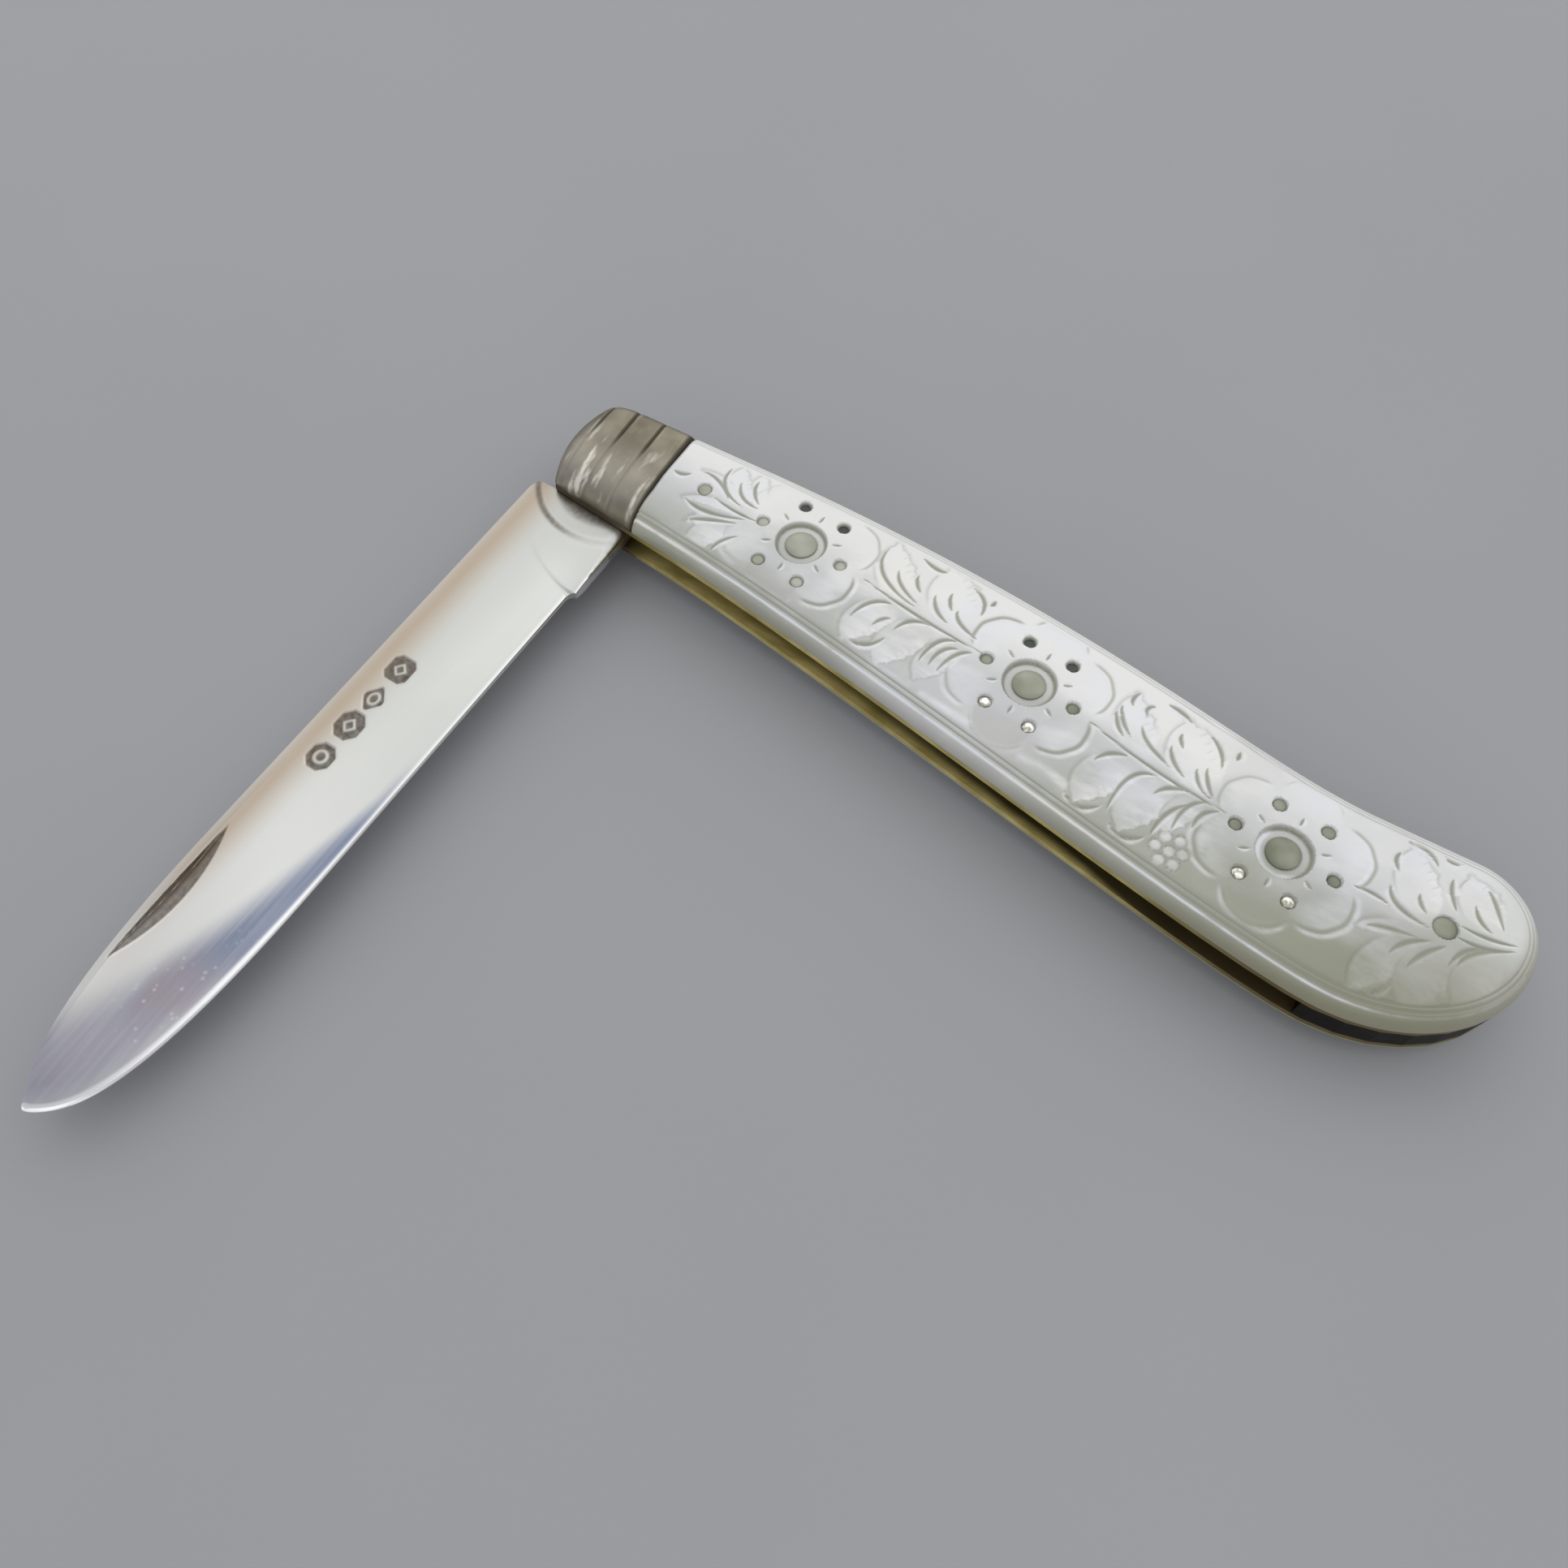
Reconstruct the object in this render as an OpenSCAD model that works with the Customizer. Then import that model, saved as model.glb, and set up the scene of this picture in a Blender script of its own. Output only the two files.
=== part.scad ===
// Folding fruit knife: silver blade, pearl scales, silver bolsters, brass liners and a back spring.
// It lies on its lower scale with the blade half open. All lengths are in millimetres.
// The origin is on the blade's pivot axis, in the plane that the knife lies on. X runs along the
// handle to its tail, Y points to the handle's back, and Z points up through its thickness.

/* [Handle outline] */
// How much further than the blade's tip the tail reaches from the pivot
tail_past = 13.9; // [12:0.1:17]
// Pivot to the back edge at the head
head_back = 6; // [5.4:0.1:7.2]
// Pivot to the mouth edge, where bolster and scale meet
head_mouth = 4; // [3.6:0.1:5]
// How far the back edge has dropped when it reaches the tail
back_drop = 5.5; // [3.5:0.1:6.6]
// Pivot to the point where the back edge starts to drop
back_level = 10; // [6:0.5:14]
// Length of level back edge before the end of the tail
tail_level = 12.5; // [10:0.5:16]
// Pull of the back edge's tangent where it starts to drop
back_pull_head = 30; // [22:1:34]
// Pull of the back edge's tangent where it is level again
back_pull_tail = 9.7; // [6:0.1:13]
// Slope of the mouth edge at the head, in degrees
mouth_slope = 6.2; // [4:0.1:7.4]
// Pull of the mouth edge's tangent at the head
mouth_pull_head = 17.7; // [12:0.1:24]
// Pull of the mouth edge's tangent at the tail
mouth_pull_tail = 7.7; // [5:0.1:11]
// Width of the tail
tail_w = 14.8; // [12.3:0.1:17.8]
// Radius of the tail's corner on the back
tail_r = 5.4; // [4:0.1:6.4]
// Length of the tail's rounded corner on the mouth side
tail_run = 11.5; // [9:0.5:14]

/* [Thickness] */
// Thickness of each pearl scale and bolster
scale_t = 2.2; // [1.8:0.1:2.7]
// Thickness of each brass liner
liner_t = 0.5; // [0.4:0.05:0.6]
// Gap between the liners, which the blade and the spring share
slot_t = 2; // [1.6:0.1:2.4]
// Height of the upright foot of a scale's edge
side_h = 0.7; // [0.5:0.05:0.9]
// Width of a scale's rounded edge, seen from above
roll_w = 1.6; // [1.2:0.1:2]

/* [Bolster] */
// How far the bolster's rounded end covers the tang
bolster_cover = 0.3; // [0.2:0.05:0.8]
// Pivot to the joint between bolster and scale
bolster_rear = 4.4; // [3.7:0.1:5.2]
// Radius of the bolster's end, seen from above
bolster_end_r = 9.4; // [8:0.1:11.2]
// Distance from the pivot of each groove across the bolster
groove_at = [-3, -0.7, 1.8]; // [-3.2:0.1:3.2]
// Width of a groove
groove_w = 0.5; // [0.3:0.05:0.7]
// Depth of a groove
groove_depth = 0.12; // [0.08:0.02:0.16]

/* [Blade] */
// Pivot to the blade's tip
blade_l = 61.3; // [51:0.1:74]
// Pivot to the blade's spine
spine_off = 5.75; // [5.2:0.05:6]
// Pivot to the cutting edge
edge_off = 3.2; // [2.7:0.05:3.6]
// How far the tip lies to the spine's side of the pivot
tip_off = 2.1; // [1.2:0.1:2.6]
// Length over which the spine curves to the tip
spine_curve = 21; // [16:0.5:26]
// Pull of the spine's tangent where it starts to curve
spine_pull = 16; // [11:0.5:18]
// Length over which the edge curves to the tip
belly_curve = 21; // [17:0.5:25]
// Pull of the edge's tangent where it starts to curve
belly_pull = 17; // [12:0.5:19]
// Pull of the spine's tangent at the tip
spine_tip_pull = [3, 1.5];
// Pull of the edge's tangent at the tip
belly_tip_pull = [-1.1, 1.9];
// Width of the flat side next to the spine
flat_w = 4.15; // [3:0.05:5]
// Width of the bevel along each edge of the spine
spine_bevel_w = 0.8; // [0.5:0.05:1]
// Height of that bevel
spine_bevel_h = 0.25; // [0.15:0.05:0.35]
// Thickness where the bevel of the cutting edge starts
bevel_t = 0.6; // [0.4:0.05:0.8]
// Width of the bevel of the cutting edge
bevel_w = 0.6; // [0.4:0.05:0.8]
// Thickness left at the cutting edge
edge_t = 0.12; // [0.08:0.02:0.2]
// Radius of the raised boss round the pivot
boss_r = 6.1; // [5.4:0.1:7.2]
// How far the boss stands above the side of the blade
boss_step = 0.15; // [0.1:0.01:0.2]
// Pivot to the notch between heel and cutting edge
choil_at = 10.8; // [9:0.1:13]
// Radius of that notch
choil_r = 0.55; // [0.4:0.05:0.7]
// Tip to the middle of the nail nick
nick_from_tip = 17; // [14:0.1:24]
// Length of the nail nick
nick_l = 10.5; // [8:0.5:12]
// Width of the nail nick
nick_w = 1.2; // [0.9:0.1:1.4]
// Depth of the nail nick
nick_depth = 0.4; // [0.3:0.05:0.45]
// Spine to the straight side of the nail nick
nick_in = 0.8; // [0.8:0.1:1.2]

/* [Tang and spring] */
// Pivot to the flats on the tang that the spring rests on
cam_r = 3.4; // [2.8:0.05:3.9]
// How far the tang's rounded corners stand past its flats
cam_corner = 1; // [0.8:0.05:1.1]
// How far the heel of the blade stands past the tang's flats
heel_step = 0.35; // [0.2:0.05:0.4]
// Pivot to the shoulder where the spine begins
shoulder = 3; // [2.7:0.1:3.4]
// Depth of the back spring along the handle
spring_d = 3.5; // [2.9:0.1:4.2]
// Length over which the spring grows to that depth, behind the heel
spring_grow = 4; // [3:0.5:6]
// Length of the spring's solid end at the tail
spring_end_l = 12.2; // [10:0.1:12.4]
// Angle between blade and handle as drawn, in degrees
half_angle = 92.3; // [85:0.1:95]
// Angle between blade and handle when shut, in degrees
shut_angle = 8; // [7:0.5:10]

/* [Pins and flowers] */
// How far the head pins and flowers lie from the handle's middle line, towards its back
pin_lift = 0.4; // [0:0.1:0.8]
// Radius of the pivot pin
pivot_r = 1.1; // [0.9:0.05:1.4]
// Radius of the hidden pin through liners and spring
spring_pin_r = 0.75; // [0.6:0.05:0.9]
// Pivot to the spring pin, along the handle
spring_pin_at = 30; // [24:0.5:36]
// Radius of the tail pin
tail_pin_r = 0.8; // [0.6:0.05:1]
// Tail's end to the tail pin
tail_pin_in = 6.3; // [5:0.1:7.6]
// How far the tail pin lies from the handle's middle line, towards its back
tail_pin_lift = 0.9; // [0:0.1:1.4]
// Radius of each head pin
head_pin_r = 0.55; // [0.4:0.05:0.7]
// Joint of bolster and scale to the head pins
head_pin_in = 3.7; // [2.8:0.1:4.6]
// Depth of a pin's end below the face
pin_sunk = 0.08; // [0.04:0.02:0.12]
// Distance of the first flower from the pivot, and of the last one from the tail's end
flower_in = 17.2; // [15.5:0.1:19]
// Radius of the round well in a flower
well_r = 1.95; // [1.7:0.05:2.3]
// Depth of that well
well_depth = 0.45; // [0.35:0.05:0.55]
// Radius of a flower rivet's head
rivet_head_r = 1.2; // [1:0.05:1.4]
// Thickness of a flower rivet's head
rivet_head_t = 0.2; // [0.14:0.02:0.24]
// Radius of a flower rivet's shank
rivet_r = 0.7; // [0.5:0.05:0.8]
// Radius of the ring of drilled dots round a flower
dot_ring_r = 3.6; // [3.2:0.1:3.8]
// Number of drilled dots round a flower
dots = 6; // [4:1:8]
// Angle of the first dot, in degrees
dot_turn = -6; // [-30:1:30]
// Radius of a drilled dot
dot_r = 0.5; // [0.4:0.05:0.6]
// Depth of a drilled dot
dot_depth = 0.4; // [0.2:0.05:0.5]

/* [Fits] */
// Radial clearance of the blade on its pivot pin
pivot_clear = 0.03; // [0.02:0.01:0.06]
// Radial clearance of a fixed pin in its hole
pin_clear = 0.01; // [0.01:0.01:0.03]
// Clearance between the tang and each liner
tang_clear = 0.05; // [0.03:0.01:0.08]
// Clearance between the tang and the spring
spring_clear = 0.05; // [0.03:0.01:0.1]
// Clearance between the spring's head and the blade's shoulder
shoulder_clear = 0.2; // [0.1:0.05:0.3]
// Clearance between the heel's end and the place where the spring deepens
heel_clear = 1; // [0.6:0.1:1.5]
// Joint between a bolster and its scale
joint_gap = 0.05; // [0.03:0.01:0.1]

/* [Hidden] */

SILVER = "#d8d6d0";
WORN_SILVER = "#b9b09f";
PEARL = "#e6e8e2";
BRASS = "#a98f3c";
STEEL = "#8d8f92";

// Steps along each long curve, round each corner, and up a scale's rounded edge
curve_steps = 14;
corner_steps = 8;
roll_steps = 5;
// A cut runs this far past the face that it leaves
past = 1;
// Extent of the boxes and half planes that trim a shape
far = 200;
// Points of an outline that lie nearer than this are one point
same_point = 0.01;

// Heights above the middle of the slot
liner_z = slot_t / 2;
scale_z = liner_z + liner_t;
face_z = scale_z + scale_t;

tang_t = slot_t - 2 * tang_clear;
blade_t = tang_t - 2 * boss_step;
tang_r = cam_r + cam_corner;
heel_off = cam_r + heel_step;
tail_reach = blade_l + tail_past;
bolster_front = tang_r + bolster_cover;
tail_back = head_back - back_drop;

function bezier(a, b, c, d, t) =
    a * pow(1 - t, 3) + 3 * b * pow(1 - t, 2) * t + 3 * c * (1 - t) * t * t + d * pow(t, 3);

function curve(a, b, c, d, steps) = [for (i = [0 : steps]) bezier(a, b, c, d, i / steps)];

function arc(centre, rx, ry, from, to, steps) =
    [for (i = [0 : steps])
        let (angle = from + (to - from) * i / steps)
        centre + [rx * cos(angle), ry * sin(angle)]];

// Mouth edge from the bolster's joint to the lowest point of the tail
mouth_start = [bolster_rear, -head_mouth];
mouth_end = [tail_reach - tail_run, tail_back - tail_w];
mouth_curve = curve(
    mouth_start,
    mouth_start + mouth_pull_head * [cos(mouth_slope), -sin(mouth_slope)],
    mouth_end - [mouth_pull_tail, 0],
    mouth_end,
    curve_steps);

// Back edge from the tail to the point where it starts to drop
back_start = [back_level, head_back];
back_end = [tail_reach - tail_level, tail_back];
back_curve = curve(
    back_end,
    back_end - [back_pull_tail, 0],
    back_start + [back_pull_head, 0],
    back_start,
    curve_steps);

// Tail, from its lowest point round to the back edge
tail_corner = [tail_reach - tail_r, tail_back - tail_r];
tail_curve = concat(
    arc([mouth_end.x, tail_corner.y], tail_run, tail_corner.y - mouth_end.y, -90, 0, corner_steps),
    arc(tail_corner, tail_r, tail_r, 0, 90, corner_steps));

// The bolster's end is an arc from the back edge to the mouth edge, which runs on past the joint
function mouth_before_joint(x) = -head_mouth + (bolster_rear - x) * tan(mouth_slope);
front_mouth = mouth_before_joint(-bolster_front);
front_centre = [bolster_end_r - bolster_front, (head_back + front_mouth) / 2];
front_turn = asin((head_back - front_mouth) / 2 / bolster_end_r);
front_curve = arc(
    front_centre,
    bolster_end_r,
    bolster_end_r,
    180 - front_turn,
    180 + front_turn,
    corner_steps);

// A line without points that repeat
function distinct(line) = [for (i = [0 : len(line) - 1])
    if (i == 0 || norm(line[i] - line[max(i, 1) - 1]) > same_point) line[i]];

// Outlines of the scale and the bolster, each from its joint and back to its joint, and of both
scale_line = distinct(concat(mouth_curve, tail_curve, back_curve, [[bolster_rear, head_back]]));
bolster_joint = bolster_rear - joint_gap;
bolster_line = concat(
    [[bolster_joint, head_back]],
    front_curve,
    [[bolster_joint, mouth_before_joint(bolster_joint)]]);
handle_line = concat(scale_line, front_curve);

function unit(v) = v / norm(v);

function reversed(list) = [for (i = [len(list) - 1 : -1 : 0]) list[i]];

function outward(a, b) = unit([(b - a).y, -(b - a).x]);

// Point i of a line moved in by a distance. The line's two ends move along the joint, and any other
// point moves square to both of the edges that meet there.
function inset(line, i, by) =
    let (before = outward(line[max(i, 1) - 1], line[max(i, 1)]))
    let (after = outward(line[min(i, len(line) - 2)], line[min(i, len(line) - 2) + 1]))
    let (middle = unit(before + after))
    i == 0 || i == len(line) - 1
        ? line[i] - [0, by / after.y]
        : line[i] - by * middle / (middle * after);

// Line of the pins, near the middle between back and mouth
function pin_place(x, lift) = [x, (lookup(x, back_curve) + lookup(x, mouth_curve)) / 2 + lift];

head_pin_place = pin_place(bolster_rear + head_pin_in, pin_lift);
tail_pin_place = pin_place(tail_reach - tail_pin_in, tail_pin_lift);
flower_places = [for (i = [0 : 2])
    pin_place(flower_in + i / 2 * (tail_reach - 2 * flower_in), pin_lift)];
spring_pin_place = [spring_pin_at, lookup(spring_pin_at, back_curve) - spring_d / 2];

// What is drawn upwards from the middle of the slot goes to the upper side, 1, or the lower side, -1
UPPER = 1;
LOWER = -1;

module on_side(side) {
    translate([0, 0, face_z])
        if (side == UPPER)
            children();
        else
            mirror([0, 0, 1])
                children();
}

// Triangles that fill a line, laid across it from its two ends to the place where they meet
function ladder(line, i, j) =
    j - i < 2 ? []
    : abs(line[i + 1].x - line[0].x) < abs(line[j - 1].x - line[0].x)
        ? concat([[i, i + 1, j]], ladder(line, i + 1, j))
        : concat([[i, j - 1, j]], ladder(line, i, j - 1));

// Solid over an outline, with an upright foot, a rounded edge and an upright joint
module cheek(line, side) {
    levels = concat(
        [[0, 0]],
        [for (i = [0 : roll_steps])
            let (turn = 90 * i / roll_steps)
            [roll_w * (1 - cos(turn)), side_h + (scale_t - side_h) * sin(turn)]]);
    count = len(line);
    points = [for (level = levels, i = [0 : count - 1])
        let (p = inset(line, i, level[0]))
        [p.x, p.y, face_z + side * (scale_z + level[1])]];
    walls = [for (k = [0 : len(levels) - 2], i = [0 : count - 1], half = [0, 1])
        let (a = k * count + i)
        let (b = k * count + (i + 1) % count)
        half == 0 ? [a, b + count, b] : [a, a + count, b + count]];
    foot = ladder(line, 0, count - 1);
    top = [for (face = foot) reversed(face) + (len(levels) - 1) * count * [1, 1, 1]];
    faces = concat(foot, top, walls);
    polyhedron(points, side == UPPER ? faces : [for (face = faces) reversed(face)]);
}

module bolster(side) {
    color(WORN_SILVER)
        difference() {
            cheek(bolster_line, side);
            on_side(side) {
                cylinder(r = pivot_r + pin_clear, h = face_z + past);
                for (x = groove_at)
                    translate([x, far / 2, face_z - groove_depth])
                        rotate([90, 0, 0])
                            linear_extrude(far)
                                polygon([
                                    [0, 0],
                                    [groove_w, 2 * groove_depth],
                                    [-groove_w, 2 * groove_depth]]);
            }
        }
}

module pearl_scale(side) {
    color(PEARL)
        difference() {
            cheek(scale_line, side);
            on_side(side) {
                translate(head_pin_place)
                    cylinder(r = head_pin_r + pin_clear, h = face_z + past);
                translate(tail_pin_place)
                    cylinder(r = tail_pin_r + pin_clear, h = face_z + past);
                for (place = flower_places)
                    translate(place)
                        flower_holes();
            }
        }
}

// Holes of one flower: the rivet's hole, its well and the ring of drilled dots
module flower_holes() {
    cylinder(r = rivet_r + pin_clear, h = face_z + past);
    translate([0, 0, face_z - well_depth])
        cylinder(r = well_r, h = well_depth + past);
    for (i = [0 : dots - 1])
        rotate(dot_turn + 360 * i / dots)
            translate([dot_ring_r, 0, face_z - dot_depth])
                cylinder(r = dot_r, h = dot_depth + past);
}

module liner() {
    color(BRASS)
        translate([0, 0, liner_z])
            linear_extrude(liner_t)
                difference() {
                    polygon(handle_line);
                    circle(pivot_r + pin_clear);
                    translate(head_pin_place)
                        circle(head_pin_r + pin_clear);
                    translate(spring_pin_place)
                        circle(spring_pin_r + pin_clear);
                    translate(tail_pin_place)
                        circle(tail_pin_r + pin_clear);
                    for (place = flower_places)
                        translate(place)
                            circle(rivet_r + pin_clear);
                }
}

// The spring's own side of a line inside the handle: flat over the tang, deeper behind the blade's
// heel, along the back edge, and down across the handle behind the shut blade's tip
module spring_side() {
    front = shoulder_clear - shoulder;
    flat_y = cam_r + spring_clear;
    flat_end = choil_at + heel_clear;
    deep_start = flat_end + spring_grow;
    block_x = tail_reach - spring_end_l;
    deep_end = block_x - spring_d;
    deep = [for (i = [0 : curve_steps])
        let (x = deep_start + (deep_end - deep_start) * i / curve_steps)
        [x, lookup(x, back_curve) - spring_d]];
    last = deep[curve_steps];
    bend = curve(
        last,
        last + [spring_d, 0],
        [block_x, last.y],
        [block_x, mouth_end.y / 2],
        corner_steps);
    polygon(concat(
        [[front, flat_y], [flat_end, flat_y]],
        deep,
        bend,
        [[block_x, -far], [far, -far], [far, far], [front, far]]));
}

module back_spring() {
    color(STEEL)
        translate([0, 0, face_z - liner_z])
            linear_extrude(slot_t)
                difference() {
                    intersection() {
                        polygon(handle_line);
                        spring_side();
                    }
                    translate(spring_pin_place)
                        circle(spring_pin_r + pin_clear);
                    translate(tail_pin_place)
                        circle(tail_pin_r + pin_clear);
                }
}

// The blade is drawn along X with its spine on the minus Y side, then turned to its angle
module blade_outline() {
    tip = [blade_l, -tip_off];
    spine_end = [blade_l - spine_curve, -spine_off];
    edge_end = [blade_l - belly_curve, edge_off];
    spine = curve(
        spine_end,
        spine_end + [spine_pull, 0],
        tip - spine_tip_pull,
        tip,
        curve_steps);
    belly = curve(
        tip,
        tip + belly_tip_pull,
        edge_end + [belly_pull, 0],
        edge_end,
        curve_steps);
    difference() {
        polygon(concat(
            [[shoulder, -spine_off]],
            spine,
            belly,
            [[choil_at, edge_off], [choil_at, heel_off], [shoulder, heel_off]]));
        translate([choil_at, heel_off])
            circle(choil_r);
    }
}

// Round end of the tang, with a flat for each angle at which the spring holds the blade
module tang_outline() {
    difference() {
        union() {
            circle(tang_r);
            translate([0, -cam_r])
                square([shoulder, 2 * cam_r]);
        }
        for (angle = [shut_angle, half_angle, 180])
            rotate(90 + angle)
                translate([cam_r, -far / 2])
                    square(far);
    }
}

// Section across the blade from its spine to its cutting edge, drawn in the Y and Z directions
module blade_section() {
    half = [[-spine_off, blade_t / 2 - spine_bevel_h],
            [spine_bevel_w - spine_off, blade_t / 2],
            [flat_w - spine_off, blade_t / 2],
            [edge_off - bevel_w, bevel_t / 2],
            [edge_off, edge_t / 2],
            [heel_off + past, edge_t / 2]];
    polygon(concat(half, [for (p = reversed(half)) [p.x, -p.y]]));
}

// The nail nick is the mark of a wide cone laid on its side across the blade's upper face
module nail_nick() {
    cutter_r = (pow(nick_l / 2, 2) + pow(nick_depth, 2)) / (2 * nick_depth);
    translate([blade_l - nick_from_tip, nick_in - spine_off, blade_t / 2 + cutter_r - nick_depth])
        rotate([-90, 0, 0])
            cylinder(r1 = cutter_r, r2 = cutter_r - nick_depth, h = nick_w);
}

// The heel keeps the blade's full thickness as far as the notch
module heel_outline() {
    intersection() {
        blade_outline();
        translate([shoulder, flat_w - spine_off])
            square([choil_at - choil_r - shoulder, far]);
    }
}

module blade() {
    color(SILVER)
        translate([0, 0, face_z])
            rotate(-half_angle)
                difference() {
                    union() {
                        intersection() {
                            linear_extrude(tang_t, center = true)
                                blade_outline();
                            rotate([90, 0, 90])
                                linear_extrude(blade_l)
                                    blade_section();
                        }
                        linear_extrude(blade_t, center = true)
                            heel_outline();
                        linear_extrude(tang_t, center = true) {
                            tang_outline();
                            intersection() {
                                blade_outline();
                                circle(boss_r);
                            }
                        }
                    }
                    cylinder(r = pivot_r + pivot_clear, h = tang_t + past, center = true);
                    nail_nick();
                }
}

// A pin through the handle, as long to each side of the slot's middle
module through_pin(place, radius, reach) {
    translate([place.x, place.y, face_z])
        cylinder(r = radius, h = 2 * reach, center = true);
}

module pivot_pin() {
    color(WORN_SILVER)
        through_pin([0, 0], pivot_r, face_z - pin_sunk);
}

module spring_pin() {
    color(STEEL)
        through_pin(spring_pin_place, spring_pin_r, scale_z);
}

module tail_pin() {
    color(SILVER)
        through_pin(tail_pin_place, tail_pin_r, face_z - pin_sunk);
}

// A head pin holds one scale to its liner and stops at the slot
module head_pin() {
    color(SILVER)
        translate([head_pin_place.x, head_pin_place.y, liner_z])
            cylinder(r = head_pin_r, h = face_z - pin_sunk - liner_z);
}

// A flower rivet holds one scale to its liner, with its head on the floor of the flower's well
module flower_rivet(number) {
    head_z = face_z - well_depth;
    color(SILVER)
        translate(flower_places[number - 1]) {
            translate([0, 0, liner_z])
                cylinder(r = rivet_r, h = head_z - liner_z);
            translate([0, 0, head_z])
                cylinder(r = rivet_head_r, h = rivet_head_t);
        }
}

module upper_liner() on_side(UPPER) liner();
module lower_liner() on_side(LOWER) liner();
module upper_bolster() bolster(UPPER);
module lower_bolster() bolster(LOWER);
module upper_scale() pearl_scale(UPPER);
module lower_scale() pearl_scale(LOWER);
module upper_head_pin() on_side(UPPER) head_pin();
module lower_head_pin() on_side(LOWER) head_pin();
module upper_flower_rivet(number) on_side(UPPER) flower_rivet(number);
module lower_flower_rivet(number) on_side(LOWER) flower_rivet(number);

blade();
back_spring();
upper_liner();
lower_liner();
upper_bolster();
lower_bolster();
upper_scale();
lower_scale();
pivot_pin();
spring_pin();
tail_pin();
upper_head_pin();
lower_head_pin();
upper_flower_rivet(1);  // upper_flower_rivet_1
upper_flower_rivet(2);  // upper_flower_rivet_2
upper_flower_rivet(3);  // upper_flower_rivet_3
lower_flower_rivet(1);  // lower_flower_rivet_1
lower_flower_rivet(2);  // lower_flower_rivet_2
lower_flower_rivet(3);  // lower_flower_rivet_3
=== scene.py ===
# %% [markdown]
# # A folding fruit knife, half open
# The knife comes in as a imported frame: one object for each CAD node, riding on the body it moves
# with. This lesson dresses that frame. Pieces whose shape is already right keep it and get a finish.
# Pieces that need carving, crowning or polishing are modelled again in the same place.

# %% Load the frame
import math

import bmesh
import bpy
import numpy as np
from mathutils import Matrix, Vector, geometry


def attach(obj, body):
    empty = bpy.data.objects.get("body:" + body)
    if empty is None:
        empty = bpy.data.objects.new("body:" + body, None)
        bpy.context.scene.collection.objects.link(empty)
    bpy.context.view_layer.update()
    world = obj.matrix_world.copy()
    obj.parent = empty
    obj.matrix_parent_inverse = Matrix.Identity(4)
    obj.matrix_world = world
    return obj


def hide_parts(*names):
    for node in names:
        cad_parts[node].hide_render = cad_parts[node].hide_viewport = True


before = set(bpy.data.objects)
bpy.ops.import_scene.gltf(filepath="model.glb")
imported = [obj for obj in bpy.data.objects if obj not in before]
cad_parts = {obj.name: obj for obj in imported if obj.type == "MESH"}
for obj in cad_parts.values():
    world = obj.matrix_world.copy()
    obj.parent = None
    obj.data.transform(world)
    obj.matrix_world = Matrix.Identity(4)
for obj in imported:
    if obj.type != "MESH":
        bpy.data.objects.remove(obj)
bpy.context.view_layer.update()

MM = 0.001

# %% [markdown]
# ## The camera
# The photograph was taken from close by, about 60 degrees above the table, and turned so that the
# handle runs down to the right. A camera object looks along its own minus Z, so a tracking rotation
# from its place to its aim is enough, and the lens sets how much of the table is seen.

# %% Camera
CAMERA_PLACE = Vector((47.39, -54.55, 86.0)) * MM
CAMERA_AIM = Vector((24.53, -14.95, 0.0)) * MM
lens = bpy.data.cameras.new("camera")
lens.sensor_width = 36
lens.lens = 29.81
lens.clip_start = 0.005
camera = bpy.data.objects.new("camera", lens)
camera.location = CAMERA_PLACE
camera.rotation_euler = (CAMERA_AIM - CAMERA_PLACE).to_track_quat("-Z", "Y").to_euler()
bpy.context.collection.objects.link(camera)
bpy.context.scene.camera = camera
bpy.context.scene.view_settings.view_transform = "Standard"
print("camera", round((CAMERA_AIM - CAMERA_PLACE).length / MM), "mm from its aim")

# %% [markdown]
# ## Shader sums
# A finish is mostly sums on masks. Writing them as node links hides the sum, so this small class
# wraps one output socket: an expression on such wires adds its Math nodes by itself. Every other
# node comes from one method, which first sets what the node is and then fills its sockets.


# %% Wires
class Wire:
    """An output socket whose sums become Math nodes."""

    def __init__(self, socket):
        self.socket = socket
        self.tree = socket.id_data

    def node(self, kind, settings, sockets, out=0):
        made = self.tree.nodes.new(kind)
        for name, value in settings.items():
            setattr(made, name, value)
        plug(made, sockets)
        return Wire(made.outputs[out])

    def math(self, operation, first, second):
        return self.node("ShaderNodeMath", {"operation": operation}, {0: first, 1: second})

    def __add__(self, other):
        return self.math("ADD", self, other)

    def __radd__(self, other):
        return self.math("ADD", other, self)

    def __sub__(self, other):
        return self.math("SUBTRACT", self, other)

    def __rsub__(self, other):
        return self.math("SUBTRACT", other, self)

    def __mul__(self, other):
        return self.math("MULTIPLY", self, other)

    def __rmul__(self, other):
        return self.math("MULTIPLY", other, self)


def plug(node, sockets):
    """Fills a node's sockets: a wire is linked, and a plain value is set on the socket itself."""
    for key, value in sockets.items():
        if isinstance(value, Wire):
            node.id_data.links.new(value.socket, node.inputs[key])
        else:
            node.inputs[key].default_value = value


print("shader sums ready")

# %% [markdown]
# A few helpers are enough for every finish here: a new material with its Object coordinates, a mix of
# two colours by a mask, a soft step between two values, noise, a bump, one axis of a place, and a mask
# that was painted on the mesh. Object coordinates are in metres, so a pattern of 2 mm has a scale of 500.


# %% Helpers of the finishes
def new_finish(name):
    """A new material, its shader node and its Object coordinates."""
    finish = bpy.data.materials.new(name)
    finish.use_nodes = True
    place = finish.node_tree.nodes.new("ShaderNodeTexCoord")
    return finish, finish.node_tree.nodes["Principled BSDF"], Wire(place.outputs["Object"])


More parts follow.
